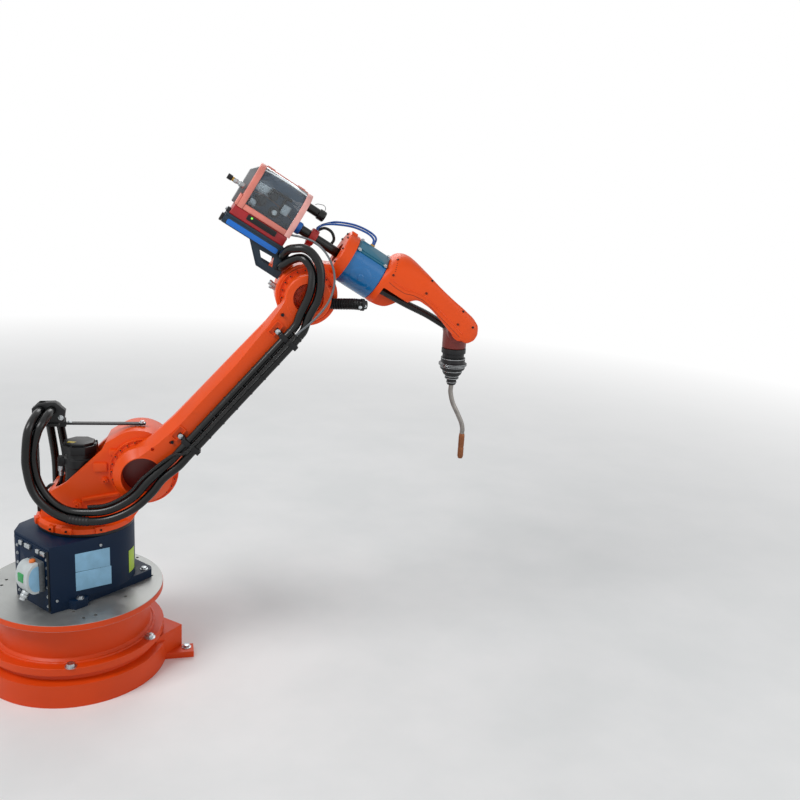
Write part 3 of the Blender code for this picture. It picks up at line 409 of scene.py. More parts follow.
def outline_normals(outline):
    """The outward direction at each corner of a closed outline that runs anticlockwise."""
    edge = np.roll(outline, -1, axis=0) - outline
    edge = edge / np.linalg.norm(edge, axis=1, keepdims=True)
    out = np.stack([edge[:, 1], -edge[:, 0]], axis=1)
    both = out + np.roll(out, 1, axis=0)
    return both / np.maximum((both * both).sum(axis=1, keepdims=True), 0.5) * 2


def slab(outline, low, high, edge=0.001, middle=(0, 0, 0), axis="Z"):
    """A flat outline raised from low to high, with a rounded edge: each ring is the outline moved inwards."""
    outline = np.asarray(outline, float)
    doubled = outline[:, 0] * np.roll(outline[:, 1], -1) - np.roll(outline[:, 0], -1) * outline[:, 1]
    if doubled.sum() < 0:
        outline = outline[::-1]
    normals = outline_normals(outline)
    half = 0.3 * edge
    inset = np.array([edge, half, 0.0, 0.0, half, edge])
    height = np.array([low, low + half, low + edge, high - edge, high - half, high])
    flat = outline[None] - normals[None] * inset[:, None, None]
    verts = np.concatenate([flat, np.broadcast_to(height[:, None, None], (6, len(outline), 1))], axis=-1)
    return moved(grid(verts), middle, AXES[axis])


def rounded_box(low, high, corner=0.004, edge=0.001, axis="Z"):
    """A box between two corners. Its outline has round corners, and its faces have soft edges."""
    low, high = np.asarray(low, float), np.asarray(high, float)
    order = {"Z": (0, 1, 2), "X": (1, 2, 0), "Y": (0, 2, 1)}[axis]
    size = (high - low)[list(order)]
    middle = (high + low)[list(order)] / 2
    flip = -1.0 if axis == "Y" else 1.0
    corner = min(corner, 0.49 * size[0], 0.49 * size[1])
    angle = np.radians(np.linspace(0, 90, 5))
    quarter = np.stack([np.cos(angle), np.sin(angle)], axis=1) * corner
    signs = ((1, 1), (-1, 1), (-1, -1), (1, -1))
    parts = [(quarter if sx * sy > 0 else quarter[::-1]) * (sx, sy)
             + (sx * (size[0] / 2 - corner), sy * (size[1] / 2 - corner)) for sx, sy in signs]
    outline = np.concatenate(parts) + (middle[0], flip * middle[1])
    if axis == "Y":
        return slab(outline, -high[1], -low[1], edge, axis="Y_flat")
    return slab(outline, middle[2] - size[2] / 2, middle[2] + size[2] / 2, edge, axis=axis)


def route(points, steps=10, stub=0.006):
    """A Catmull-Rom curve through the points, straight for a stub at each end."""
    points = np.asarray(points, float)
    first = points[0] + (points[1] - points[0]) / np.linalg.norm(points[1] - points[0]) * stub
    last = points[-1] + (points[-2] - points[-1]) / np.linalg.norm(points[-2] - points[-1]) * stub
    knots = np.concatenate([[first], points[1:-1], [last]])
    knots = np.concatenate([[2 * knots[0] - knots[1]], knots, [2 * knots[-1] - knots[-2]]])
    a, b, c, d = (knots[i:len(knots) - 3 + i, None] for i in range(4))
    t = (np.arange(steps) / steps)[None, :, None]
    curve = 0.5 * (2 * b + (c - a) * t + (2 * a - 5 * b + 4 * c - d) * t ** 2
                   + (3 * b - a - 3 * c + d) * t ** 3)
    return np.concatenate([[points[0]], curve.reshape(-1, 3), [last], [points[-1]]])


def stepped(path, spacing):
    """The same path with points a fixed distance apart along it."""
    run = np.concatenate([[0.0], np.cumsum(np.linalg.norm(np.diff(path, axis=0), axis=1))])
    marks = np.linspace(0, run[-1], max(int(run[-1] / spacing), 2) + 1)
    return np.stack([np.interp(marks, run, path[:, i]) for i in range(3)], axis=1), marks


def steady_frames(path):
    """Two directions square to the path at each point, from the fixed direction that is nowhere along it."""
    tangent = np.gradient(path, axis=0)
    tangent /= np.linalg.norm(tangent, axis=1, keepdims=True)
    choices = np.array([(x, y, z) for x in (-1, 0, 1) for y in (-1, 0, 1) for z in (0, 1)
                        if (x, y, z) > (0, 0, 0) or z], float)
    choices /= np.linalg.norm(choices, axis=1, keepdims=True)
    apart = np.linalg.norm(np.cross(tangent[:, None], choices[None]), axis=-1).min(axis=0)
    first = np.cross(tangent, choices[apart.argmax()])
    first /= np.linalg.norm(first, axis=1, keepdims=True)
    return first, np.cross(tangent, first)


def tube(path, radius, sides=20):
    """A round tube: each point of the path gets a circle of its own radius, square to the path."""
    first, second = steady_frames(path)
    radius = np.broadcast_to(np.asarray(radius, float), (len(path),))[:, None, None]
    angle = np.arange(sides) * 2 * math.pi / sides
    ring = np.cos(angle)[None, :, None] * first[:, None] + np.sin(angle)[None, :, None] * second[:, None]
    return grid(path[:, None] + radius * ring)


def ribbed(path, radius, pitch, depth, sides=20):
    """A corrugated tube: the radius follows a cosine wave of one rib per pitch along the path."""
    even, marks = stepped(path, pitch / 6)
    wave = 0.5 + 0.5 * np.cos(2 * math.pi * marks / pitch)
    return tube(even, radius - depth * (1 - wave) ** 1.5, sides)


def copies(shape, spots, turns=None):
    """One shape at many spots, each with its own turn, as one shape."""
    spots = np.asarray(spots, float)
    turns = np.broadcast_to(np.eye(3) if turns is None else np.asarray(turns, float), (len(spots), 3, 3))
    verts = np.einsum("vi,kij->kvj", shape[0], turns) + spots[:, None]
    faces = [[i + k * len(shape[0]) for i in face] for k in range(len(spots)) for face in shape[1]]
    return verts.reshape(-1, 3), faces


def pose_to(direction):
    """The turn that points a shape's +Z along a direction."""
    z = np.asarray(direction, float) / np.linalg.norm(direction)
    helper = np.array([1.0, 0, 0]) if abs(z[0]) < 0.8 else np.array([0, 1.0, 0])
    x = np.cross(helper, z)
    x /= np.linalg.norm(x)
    return np.array([x, np.cross(z, x), z])


print("shape helpers ready")

# %% [markdown]
# ## Making a piece
# A piece is a mesh with its place in its points, its object at the origin. Faces meet smoothly below 35 degrees
# and crisply above. It rides on a body of the robot, and may stand for a plainer solid of the CAD model.

# %% Pieces
SMOOTH_BELOW = math.radians(35)
made_pieces = {}


def piece(name, shape, finish, body, where=FLOOR, stands_for=(), blend_to=None):
    """A mesh object from a shape on one link, with its finish, its body and the nodes that it stands for."""
    mesh = bpy.data.meshes.new(name)
    mesh.from_pydata(laid(shape[0], where).tolist(), [], shape[1])
    clean = bmesh.new()
    clean.from_mesh(mesh)
    bmesh.ops.remove_doubles(clean, verts=clean.verts, dist=0.000005)
    bmesh.ops.recalc_face_normals(clean, faces=clean.faces)
    clean.to_mesh(mesh)
    clean.free()
    return dressed(name, mesh, finish, body, stands_for, blend_to)


def dressed(name, mesh, finish, body, stands_for=(), blend_to=None):
    """Put a finished mesh in the scene: it rides on its body, or stays in place when it blends, and hides the
    nodes that it stands for.
    """
    mesh.materials.append(finish)
    mesh.shade_smooth()
    mesh.set_sharp_from_angle(angle=SMOOTH_BELOW)
    obj = bpy.data.objects.new(name, mesh)
    bpy.context.collection.objects.link(obj)
    if blend_to:
        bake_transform(obj)
    else:
        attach(obj, body)
    if stands_for:
        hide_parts(*stands_for)
    made_pieces[name] = obj
    return obj


def softened(node, finish, body, width=0.002, segments=2):
    """A CAD node with rounded edges: its loose triangles are merged, flat ones join, and a Bevel follows."""
    mesh = frame["nodes"][node].data.copy()
    mesh.materials.clear()
    shape = bmesh.new()
    shape.from_mesh(mesh)
    bmesh.ops.remove_doubles(shape, verts=shape.verts, dist=0.00002)
    bmesh.ops.dissolve_limit(shape, angle_limit=math.radians(1.5), verts=shape.verts, edges=shape.edges)
    clean = bpy.data.meshes.new(node + "_shell")
    shape.to_mesh(clean)
    shape.free()
    return soft_edges(dressed(node + "_shell", clean, finish, body, (node,)), width, segments)


def soft_edges(obj, width=0.003, segments=2, angle=38.0):
    """Round a piece's sharp edges with a live Bevel."""
    edge = obj.modifiers.new("soft_edges", "BEVEL")
    edge.width = width
    edge.segments = segments
    edge.limit_method = "ANGLE"
    edge.angle_limit = math.radians(angle)
    edge.harden_normals = True
    return obj


def cut_from(first, plus=(), minus=()):
    """One closed shape, as a workshop makes it: blanks are welded on, and then tools cut away."""
    blanks = []
    for verts, faces in (first, *plus, *minus):
        mesh = bpy.data.meshes.new("blank")
        mesh.from_pydata(np.asarray(verts).tolist(), [], faces)
        clean = bmesh.new()
        clean.from_mesh(mesh)
        bmesh.ops.remove_doubles(clean, verts=clean.verts, dist=0.000005)
        bmesh.ops.recalc_face_normals(clean, faces=clean.faces)
        clean.to_mesh(mesh)
        clean.free()
        blanks.append(bpy.data.objects.new("blank", mesh))
        bpy.context.collection.objects.link(blanks[-1])
    for number, tool in enumerate(blanks[1:]):
        step = blanks[0].modifiers.new("step", "BOOLEAN")
        step.operation = "UNION" if number < len(plus) else "DIFFERENCE"
        step.solver = "EXACT"
        step.object = tool
    graph = bpy.context.evaluated_depsgraph_get()
    made = bpy.data.meshes.new_from_object(blanks[0].evaluated_get(graph))
    verts = np.empty(3 * len(made.vertices))
    made.vertices.foreach_get("co", verts)
    faces = [list(face.vertices) for face in made.polygons]
    for blank in blanks:
        bpy.data.objects.remove(blank)
    return verts.reshape(-1, 3), faces


def bend(x, y, radius, start, end, count=24):
    """Points of an arc from one angle to another, in degrees."""
    turn = np.radians(np.linspace(start, end, count))
    return np.column_stack([x + radius * np.cos(turn), y + radius * np.sin(turn)])


def cylinder(radius, low, high, middle=(0, 0, 0), axis="Z", sides=64):
    """A plain round bar from low to high along its axis."""
    return turned([(0, low), (radius, low), (radius, high), (0, high)], middle, axis, sides, 0.0)


def side_slab(outline, near, far, edge=0.0005):
    """An outline in (x, z), from the near side of y to the far one."""
    return slab(outline, -far, -near, edge, axis="-Y")


print("piece helpers ready")

# %% [markdown]
# ## Screws and bolts
# Robots are held together by socket head screws, and bolted down by hex bolts on washers. Each is a lathe part.
# A hexagon is a circle whose radius changes with the angle: the flat's distance over the cosine to its middle.

# %% Fasteners


SCREW_SIDES = 24
NEAR, FAR, REAR = (0, -1, 0), (0, 1, 0), (-1, 0, 0)


def hexagon_radius(flat):
    """The radius of a hexagon at each angle of a screw head, for a distance across flats."""
    angle = np.arange(SCREW_SIDES) * 2 * math.pi / SCREW_SIDES
    return flat / 2 / np.cos((angle + math.pi / 6) % (math.pi / 3) - math.pi / 6)


def ringed(radii, heights):
    """Rings of given radii, each a number or one for every angle, stacked at their heights."""
    angle = np.arange(SCREW_SIDES) * 2 * math.pi / SCREW_SIDES
    rows = np.stack([np.broadcast_to(np.asarray(r, float), (SCREW_SIDES,)) for r in radii])
    height = np.asarray(heights, float)[:, None]
    return grid(np.stack([rows * np.cos(angle), rows * np.sin(angle), height + 0 * angle], axis=-1))


def socket_screw(size):
    """A socket head cap screw, as tall as its thread is thick, with a hexagon sunk in its top."""
    head = 0.75 * size
    key = hexagon_radius(0.8 * size)
    return ringed([head, head, 0.93 * head, key, key * 0.96], [0, 0.9 * size, size, size, 0.45 * size])


def hex_bolt(size):
    """A hex bolt's head with a chamfered top, on a round washer."""
    flats = hexagon_radius(1.6 * size)
    lift = 0.16 * size
    head = ringed([flats, flats, np.minimum(flats, 0.86 * size), np.minimum(flats, 0.76 * size)],
                  [lift, lift + 0.52 * size, lift + 0.58 * size, lift + 0.62 * size])
    return joined(head, ringed([1.25 * size, 1.25 * size, 1.2 * size], [0, 0.13 * size, 0.16 * size]))


def socket_shade_disc(size):
    """A dark disc of painted shade over a socket's mouth, for a screw too small to show its own."""
    return ringed([size, size], [0, 0.0006])


def heads(kind, size, spots, facing=None):
    """Equal screw heads at many spots, upright or facing one way."""
    return copies(kind(size), spots, None if facing is None else pose_to(facing))


def on_circle(middle, radius, count, axis="-Y", start=0.0):
    """Spots on a circle round an axis through the middle."""
    angle = np.radians(start) + np.arange(count) * 2 * math.pi / count
    flat = np.stack([radius * np.cos(angle), radius * np.sin(angle), 0 * angle], axis=1)
    return flat @ AXES[axis] + np.asarray(middle, float)


print("fasteners ready")

# %% [markdown]
# ## Plinth and base
# The plinth is welded from plate: a foot, a drum with a bolt flange, and a turned steel top. Its welds are
# painted over. The base on it is a dark cast housing, bolted down through four lugs.

# %% Plinth
PLINTH_MIDDLE = (-0.06, -0.028)
TOP_RADIUS = 0.392
DRUM_RADIUS = 0.335
FLANGE_TOP = 0.18

softened("plinth_drum", plinth_enamel, "base", 0.003)
FOOT_RADIUS = 0.405
CORNER = 0.477
CORNER_TURN = math.radians(4.65)
FOOT = place((*PLINTH_MIDDLE, 0.0), (math.cos(CORNER_TURN), math.sin(CORNER_TURN), 0),
             (-math.sin(CORNER_TURN), math.cos(CORNER_TURN), 0))
LUG_TOP = 0.030
round_foot = turned([(0, 0), (FOOT_RADIUS, 0), (FOOT_RADIUS, 0.105), (0.369, 0.115), (0.365, 0.1447),
                     (0, 0.1447)], sides=128, round_by=0.0)
corner = slab([(CORNER - 0.12, -0.12), (CORNER, 0.0), (CORNER - 0.12, 0.12)], 0.0, 0.135, 0.0005)
lug = slab([(CORNER - 0.09, -0.075), (CORNER + 0.053, -0.075), (CORNER + 0.053, 0.0), (CORNER - 0.09, 0.0)],
           0.0, LUG_TOP, 0.0005)
foot = cut_from(round_foot, (corner, lug))
soft_edges(piece("plinth_foot_plate", foot, plinth_enamel, "base", FOOT, ("plinth_foot",)), 0.004, 3)
print("plinth foot: corner turned", round(math.degrees(CORNER_TURN), 2), "degrees")

# %% Steel top of the plinth
at_floor = (*PLINTH_MIDDLE, 0.0)
PLATE_LOW = 0.3503
# Tapped holes in the plate, as distance from its middle and bearing in degrees
PLATE_HOLES = np.array([(0.272, -81.6), (0.341, -74.6), (0.335, -66.1), (0.367, 46.3), (0.306, 169.6),
                        (0.343, 10.6), (0.280, -30.3), (0.309, 180.0), (0.341, 105.0), (0.335, 113.0)])
reach, turn = PLATE_HOLES[:, 0], np.radians(PLATE_HOLES[:, 1])
hole_spots = np.column_stack([reach * np.cos(turn), reach * np.sin(turn), 0 * turn])
blank = cylinder(TOP_RADIUS, PLATE_LOW, PLINTH_TOP, sides=128)
top_plate = cut_from(blank, minus=(copies(cylinder(0.0075, 0.362, 0.40, sides=20), hole_spots),))
piece("plinth_steel_top", moved(top_plate, at_floor), plate_steel, "base", FLOOR, ("plinth_top_plate",))
rim = turned([(TOP_RADIUS + 0.0003, 0.351), (TOP_RADIUS + 0.0014, 0.352), (TOP_RADIUS + 0.0014, 0.3772),
              (TOP_RADIUS + 0.0003, 0.3778)], at_floor, sides=96, ring=True, round_by=0.0004)
piece("plate_rim", rim, plinth_enamel, "base")
print("steel top with", len(hole_spots), "holes")

# %% Welds and bolts of the plinth


def weld(radius, height, size, up, middle):
    """A fillet weld round a drum: a quarter-round bead whose size ripples once per 7 mm of its length."""
    sides = 300
    angle = np.arange(sides) * 2 * math.pi / sides
    ripple = 1 + 0.12 * np.cos(angle * radius / 0.007)
    turn = np.radians(np.linspace(0, 90, 5))[:, None]
    reach = radius - 0.002 + (size * ripple + 0.002) * np.cos(turn)
    rise = up * ((size * ripple + 0.002) * np.sin(turn) - 0.002)
    verts = np.stack([reach * np.cos(angle), reach * np.sin(angle), height + rise], axis=-1)
    back = np.stack([0 * angle + radius - 0.004, 0 * angle, 0 * angle + height - up * 0.002], axis=-1)
    back = np.stack([back[:, 0] * np.cos(angle), back[:, 0] * np.sin(angle), back[:, 2]], axis=-1)
    verts = np.concatenate([verts, back[None], verts[:1]])
    return moved(grid(verts, ends=(False, False)), middle)


piece("plinth_welds", joined(weld(DRUM_RADIUS + 0.010, 0.3497, 0.006, -1, at_floor),
                             weld(DRUM_RADIUS + 0.014, FLANGE_TOP, 0.007, 1, at_floor)), plinth_enamel, "base")
flange_bolts = on_circle((*PLINTH_MIDDLE, FLANGE_TOP), 0.377, 6, "Z", -24.0)
piece("flange_bolts", heads(hex_bolt, 0.020, flange_bolts), zinc, "base")
piece("lug_bolt", moved(hex_bolt(0.018), (CORNER + 0.020, -0.030, LUG_TOP)), zinc, "base", FOOT)
print("plinth:", len(flange_bolts), "flange bolts")

# %% Base
BASE_HEIGHT = 0.300
BARREL = 0.207
BOX_REAR, BOX_SIDE = -0.290, 0.163
FOOT_TOP = 0.040
wall_turn = math.degrees(math.atan2(BOX_SIDE, -BOX_REAR) + math.acos(BARREL / math.hypot(BOX_REAR, BOX_SIDE)))
outline = np.concatenate([[(BOX_REAR, -BOX_SIDE)], bend(0, 0, BARREL, wall_turn - 180, 180 - wall_turn, 64),
                          [(BOX_REAR + 0.06, BOX_SIDE), (BOX_REAR, BOX_SIDE - 0.06)]])
half_foot = np.array([(-0.215, 0.175), (-0.200, 0.204), (-0.140, 0.204), (-0.120, 0.180), (0.150, 0.176),
                      (0.222, 0.170), (0.238, 0.145)])
foot_outline = np.concatenate([[(BOX_REAR, -BOX_SIDE)], half_foot * (1, -1), half_foot[::-1],
                               [(BOX_REAR + 0.03, BOX_SIDE - 0.03), (BOX_REAR, BOX_SIDE - 0.06)]])
casting = cut_from(slab(outline, FOOT_TOP - 0.002, BASE_HEIGHT, 0.0005),
                   (slab(foot_outline, 0.0, FOOT_TOP, 0.0005),))
# The base casting is black enamel, and its navy tint is painted blue light
soft_edges(piece("base_casting", casting, blue_lit_black_enamel, "base", BASE, ("base_frame",)), 0.004, 3)
COLLAR_LOW, COLLAR_TOP = BASE_HEIGHT + 0.0003, BASE_HEIGHT + 0.0148
collar = turned([(0, COLLAR_LOW), (BARREL + 0.001, COLLAR_LOW), (BARREL + 0.001, COLLAR_TOP), (0, COLLAR_TOP)],
                sides=96, round_by=0.003)
piece("base_collar_ring", collar, black_enamel, "base", BASE, ("base_collar",))
foot_bolts = [(-0.168, -0.190), (-0.168, 0.190), (0.198, -0.146), (0.198, 0.146)]
piece("foot_bolts", heads(hex_bolt, 0.014, [(x, y, FOOT_TOP) for x, y in foot_bolts]), zinc, "base", BASE)
print("base: wall turned", round(wall_turn, 1), "degrees")

# %% Connection panel
# A dark plate with a raised strip, a folded edge, a row of plugs and a column of screws down each side
PANEL_X = -0.2943
panel = joined(rounded_box((PANEL_X, -0.161, 0.012), (BOX_REAR - 0.0003, 0.097, 0.288), 0.003, 0.0008, "X"),
               rounded_box((PANEL_X - 0.0015, 0.060, 0.020), (PANEL_X + 0.001, 0.085, 0.280), 0.002, 0.0005, "X"))
# The panel's navy tint is painted blue light on black enamel
piece("connection_panel_plate", panel, blue_lit_black_enamel, "base", BASE, ("connection_panel",))
edge_strip = joined(
    rounded_box((PANEL_X - 0.008, -0.1640, 0.012), (PANEL_X + 0.001, -0.1620, 0.288), 0.001, 0.0006, "X"),
    rounded_box((PANEL_X - 0.0012, -0.1620, 0.014), (PANEL_X + 0.0005, -0.158, 0.286), 0.001, 0.0004, "X"))
piece("panel_edge_strip", edge_strip, dark_steel, "base", BASE)
rail_items = [rounded_box((PANEL_X - 0.012, y, 0.262), (PANEL_X - 0.0003, y + wide, 0.281), 0.003, 0.001, "X")
              for y, wide in ((-0.150, 0.030), (-0.108, 0.022), (-0.040, 0.040), (0.020, 0.024))]
piece("panel_top_items", joined(*rail_items), zinc, "base", BASE)
screw_rows = [(PANEL_X - 0.001, y, z) for y in (-0.152, 0.072)
              for z in (0.034, 0.078, 0.122, 0.166, 0.210, 0.247)]
panel_screws = heads(hex_bolt, 0.006, screw_rows, REAR)
print("panel with", len(rail_items), "plugs and", len(screw_rows), "screws")

# %% Side wall of the base
# The flat wall runs from the box's rear corner to where it touches the barrel
wall_along = np.array([BARREL * math.cos(math.radians(180 - wall_turn)) - BOX_REAR,
                       -BARREL * math.sin(math.radians(180 - wall_turn)) + BOX_SIDE, 0.0])
wall_along /= np.linalg.norm(wall_along)
wall_inward = np.array([-wall_along[1], wall_along[0], 0.0])
WALL = place(laid((BOX_REAR, -BOX_SIDE, 0), BASE), wall_along @ BASE[1], wall_inward @ BASE[1])
wall_screws = carried([(0.226, 0.002, 0.260), (0.025, 0.002, 0.055)], WALL, BASE)
side_screws = heads(socket_screw, 0.008, wall_screws, tuple(-wall_inward))
piece("base_screws", joined(panel_screws, side_screws), zinc, "base", BASE)

# Two thin bare plates on the wall, and a small one bent round the barrel
plates = joined(slab([(0.111, 0.163), (0.268, 0.151), (0.268, 0.238), (0.111, 0.246)], 0.0001, 0.0012, 0.0004,
                     axis="-Y"),
                slab([(0.111, 0.074), (0.273, 0.064), (0.273, 0.150), (0.111, 0.161)], 0.0001, 0.0012, 0.0004,
                     axis="-Y"))
piece("side_plates", plates, sky_plastic, "base", WALL)
angle = np.radians(np.linspace(-66, -49, 9))
curved = np.stack([np.stack([r * np.cos(angle), r * np.sin(angle), 0 * angle + z], axis=-1)
                   for r, z in ((BARREL + 0.0002, 0.074), (BARREL + 0.0012, 0.074), (BARREL + 0.0012, 0.180),
                                (BARREL + 0.0002, 0.180))])
piece("round_side_plate", grid(curved.transpose(1, 0, 2)), lime_mark, "base", BASE)
print("wall along", wall_along.round(3))

# %% Connector
# A ribbed grey block, a pale hood with a round back, a clasp, a cap and its gland
HOOD_Y, HOOD_Z = -0.0915, 0.1665
HOOD_HALF, HOOD_TALL = 0.0435, 0.0685
turn = np.linspace(0, math.pi, 24)
round_back = np.column_stack([PANEL_X - 0.042 - 0.044 * np.sin(turn), HOOD_Z + HOOD_TALL * np.cos(turn)])
hood_line = np.concatenate([[(PANEL_X - 0.028, HOOD_Z - HOOD_TALL)], [(PANEL_X - 0.028, HOOD_Z + HOOD_TALL)],
                            round_back])
hood = side_slab(hood_line, HOOD_Y - HOOD_HALF, HOOD_Y + HOOD_HALF, 0.006)
piece("connector_shell", hood, pale_plastic, "base", BASE, ("connector_housing",))
block = [rounded_box((PANEL_X - 0.027, HOOD_Y - 0.042, HOOD_Z - 0.066),
                     (PANEL_X - 0.0003, HOOD_Y + 0.042, HOOD_Z + 0.066), 0.004, 0.002, "X")]
block += [rounded_box((PANEL_X - 0.024, HOOD_Y - HOOD_HALF, z - 0.0035),
                      (PANEL_X - 0.004, HOOD_Y + HOOD_HALF, z + 0.0035), 0.001, 0.0006, "X")
          for z in HOOD_Z + np.linspace(-0.055, 0.055, 8)]
piece("connector_block", joined(*block), grey_plastic, "base", BASE)
face_line = hood_line.copy()
face_line[:, 0] = np.maximum(PANEL_X - 0.075, PANEL_X - 0.033 + (face_line[:, 0] - PANEL_X + 0.033) * 0.8)
face_line[:, 1] = HOOD_Z + (face_line[:, 1] - HOOD_Z) * 0.82
piece("connector_face", side_slab(face_line, HOOD_Y - 0.0447, HOOD_Y - 0.0430, 0.0005), sky_plastic, "base", BASE)
piece("connector_clasp", rounded_box((PANEL_X - 0.0885, HOOD_Y - 0.020, HOOD_Z - 0.010),
                                     (PANEL_X - 0.070, HOOD_Y + 0.020, HOOD_Z + 0.028), 0.004, 0.002, "X"),
      green_plastic, "base", BASE)
cap = turned([(0, 0), (0.013, 0), (0.013, 0.010), (0.009, 0.013), (0, 0.013)],
             (PANEL_X - 0.036, HOOD_Y - 0.010, HOOD_Z + 0.0665), "Z", 32, 0.002)
piece("connector_cap", cap, orange_plastic, "base", BASE)
lean = np.array([-0.55, 0.0, -0.835])
gland = turned([(0, 0.0), (0.017, 0.0), (0.017, 0.012), (0.014, 0.014), (0.017, 0.016), (0.017, 0.026),
                (0.013, 0.030), (0.013, 0.040), (0, 0.040)], round_by=0.0008, sides=32)
gland = copies(gland, [(PANEL_X - 0.062, HOOD_Y, HOOD_Z - 0.060)], pose_to(lean))
piece("connector_nut", gland, zinc, "base", BASE, ("connector_gland",))
print("connector:", len(block) - 1, "ribs")

# %% [markdown]
# ## Turning column
# The column is one casting: a ring with stop lugs, and two cheeks that sweep up to the second axis. The motor of
# the first axis stands in the pocket between them, and the gear ring of the second axis shows its bolt circle.

# %% Column
RING_LOW, RING_TOP, RING = 0.3157, 0.3497, 0.2100
CHEEK_NEAR, CHEEK_FAR = -0.095, 0.110
BOSS = np.array([0.236, 0.600])
side_line = np.concatenate([[(-0.178, RING_LOW + 0.01), (-0.172, 0.415), (-0.138, 0.466), (-0.067, 0.511),
                             (0.009, 0.585), (0.085, 0.658), (0.103, 0.692)], bend(*BOSS, 0.148, 121, -38, 40),
                            [(0.300, 0.470), (0.200, RING_LOW + 0.01)]])
lug_turns = ((-160, 0.036), (-124, 0.030), (-104, 0.046), (-66, 0.046), (20, 0.036), (62, 0.036), (140, 0.036))


def stop_lug(bearing, length):
    """A block on the ring's rim: its place turned by the bearing, (cos, sin) and (-sin, cos)."""
    c, s = math.cos(math.radians(bearing)), math.sin(math.radians(bearing))
    block = rounded_box((RING - 0.012, -length / 2, RING_LOW + 0.003),
                        (RING + 0.009, length / 2, RING_TOP - 0.003), 0.002, 0.001)
    return moved(block, turn=[(c, s, 0), (-s, c, 0), (0, 0, 1)])


lugs = [stop_lug(bearing, length) for bearing, length in lug_turns]
pocket = rounded_box((-0.118, -0.076, 0.4153), (0.098, 0.076, 0.900), 0.030, 0.006)
cheek_details = (
    rounded_box((0.050, CHEEK_NEAR - 0.010, 0.562), (0.108, CHEEK_NEAR + 0.012, 0.604), 0.006, 0.003, "Y"),
    side_slab([(0.000, 0.424), (0.156, 0.452), (0.156, 0.468), (0.000, 0.440)], CHEEK_NEAR - 0.012,
              CHEEK_NEAR + 0.01, 0.004),
    cylinder(0.014, CHEEK_NEAR - 0.016, CHEEK_NEAR + 0.01, (0.097, 0, 0.523), "Y", 24),
    cylinder(0.020, CHEEK_NEAR - 0.016, CHEEK_NEAR + 0.01, (-0.022, 0, 0.411), "Y", 24),
    rounded_box((0.118, CHEEK_NEAR - 0.015, 0.640), (0.150, CHEEK_NEAR + 0.01, 0.664), 0.005, 0.002, "Y"))
ring_blank = turned([(0, RING_LOW), (RING, RING_LOW), (RING, RING_TOP - 0.012), (RING - 0.014, RING_TOP),
                     (0, RING_TOP)], sides=128, round_by=0.0)
column_shape = cut_from(ring_blank, (side_slab(side_line, CHEEK_NEAR, CHEEK_FAR), *lugs), (pocket,))
column_shape = cut_from(column_shape, cheek_details)
soft_edges(piece("column_casting", column_shape, cast_enamel, "column", COLUMN, ("rotating_column",)),
           0.0035, 3, 32)
print("column casting with", len(lugs), "lugs")

# %% Gear ring and screws of the column
AXIS_2 = carried([joint_at("a2_lean")], FLOOR, COLUMN)[0]
RING_FACE = CHEEK_NEAR - 0.0198
GEAR_CIRCLE, GEAR_SCREWS = 0.136, 24
gear_ring = turned([(0.0, CHEEK_NEAR - 0.0003), (0.148, CHEEK_NEAR - 0.0003), (0.148, RING_FACE),
                    (0.142, RING_FACE), (0.142, RING_FACE + 0.004), (0.130, RING_FACE + 0.004),
                    (0.130, RING_FACE), (0, RING_FACE)], AXIS_2, "Y", 96, 0.0008)
piece("gear_ring_casting", gear_ring, cast_enamel, "column", COLUMN, ("a2_gear_ring",))
circle = on_circle(AXIS_2 + (0, RING_FACE + 0.0045, 0), GEAR_CIRCLE, GEAR_SCREWS)
piece("gear_ring_screws", heads(socket_screw, 0.0085, circle, NEAR), cast_enamel, "column", COLUMN)
# Dark discs over the screws' sockets: painted shade in the socket holes
circle = on_circle(AXIS_2 + (0, RING_FACE - 0.0038, 0), GEAR_CIRCLE, GEAR_SCREWS)
piece("gear_ring_socket_shade", heads(socket_shade_disc, 0.0030, circle, NEAR), dark_steel, "column", COLUMN)
lug_a = np.radians([-124, -104, -66])
lug_spots = np.column_stack([(RING + 0.0085) * np.cos(lug_a), (RING + 0.0085) * np.sin(lug_a), 0 * lug_a + 0.3325])
lug_turn = [pose_to((math.cos(a), math.sin(a), 0)) for a in lug_a]
piece("lug_screws", copies(socket_screw(0.006), lug_spots, lug_turn), dark_steel, "column", COLUMN)
cheek_spots = [(0.097, CHEEK_NEAR - 0.0135, 0.523), (-0.022, CHEEK_NEAR - 0.0135, 0.411)]
piece("cheek_bolts", heads(socket_screw, 0.011, cheek_spots, NEAR), cast_enamel, "column", COLUMN)
print("column: second axis at", AXIS_2.round(3))

# %% Motor of the first axis
MOTOR = np.array([-0.017, 0.0, 0.0])
MOTOR_RADIUS, MOTOR_TOP = 0.069, 0.624
r = MOTOR_RADIUS
motor = joined(
    turned([(0, 0.4153), (r, 0.4153), (r, 0.500), (r - 0.0025, 0.503), (r - 0.0025, 0.560), (r, 0.563),
            (r, MOTOR_TOP - 0.024), (r - 0.006, MOTOR_TOP - 0.020), (r - 0.006, MOTOR_TOP), (0, MOTOR_TOP)],
           MOTOR, "Z", 56, 0.002),
    rounded_box((-0.112, -0.020, 0.560), (-0.078, 0.020, 0.600), 0.006, 0.002))
piece("a1_motor_housing", motor, black_enamel, "column", COLUMN, ("a1_motor",))
eighths = math.pi / 8 + np.arange(8) * math.pi / 4
octagon = (r + 0.009) * np.column_stack([np.cos(eighths), np.sin(eighths)])
cap = joined(slab(octagon, MOTOR_TOP + 0.0003, MOTOR_TOP + 0.038, 0.004, MOTOR),
             slab(0.84 * octagon, MOTOR_TOP + 0.037, MOTOR_TOP + 0.050, 0.004, MOTOR))
piece("a1_motor_lid", cap, black_enamel, "column", COLUMN, ("a1_motor_cap",))
lid_spots = MOTOR + np.column_stack([0.92 * octagon, np.full(8, MOTOR_TOP + 0.0365)])
piece("a1_lid_screws", heads(socket_screw, 0.006, lid_spots), dark_steel, "column", COLUMN)
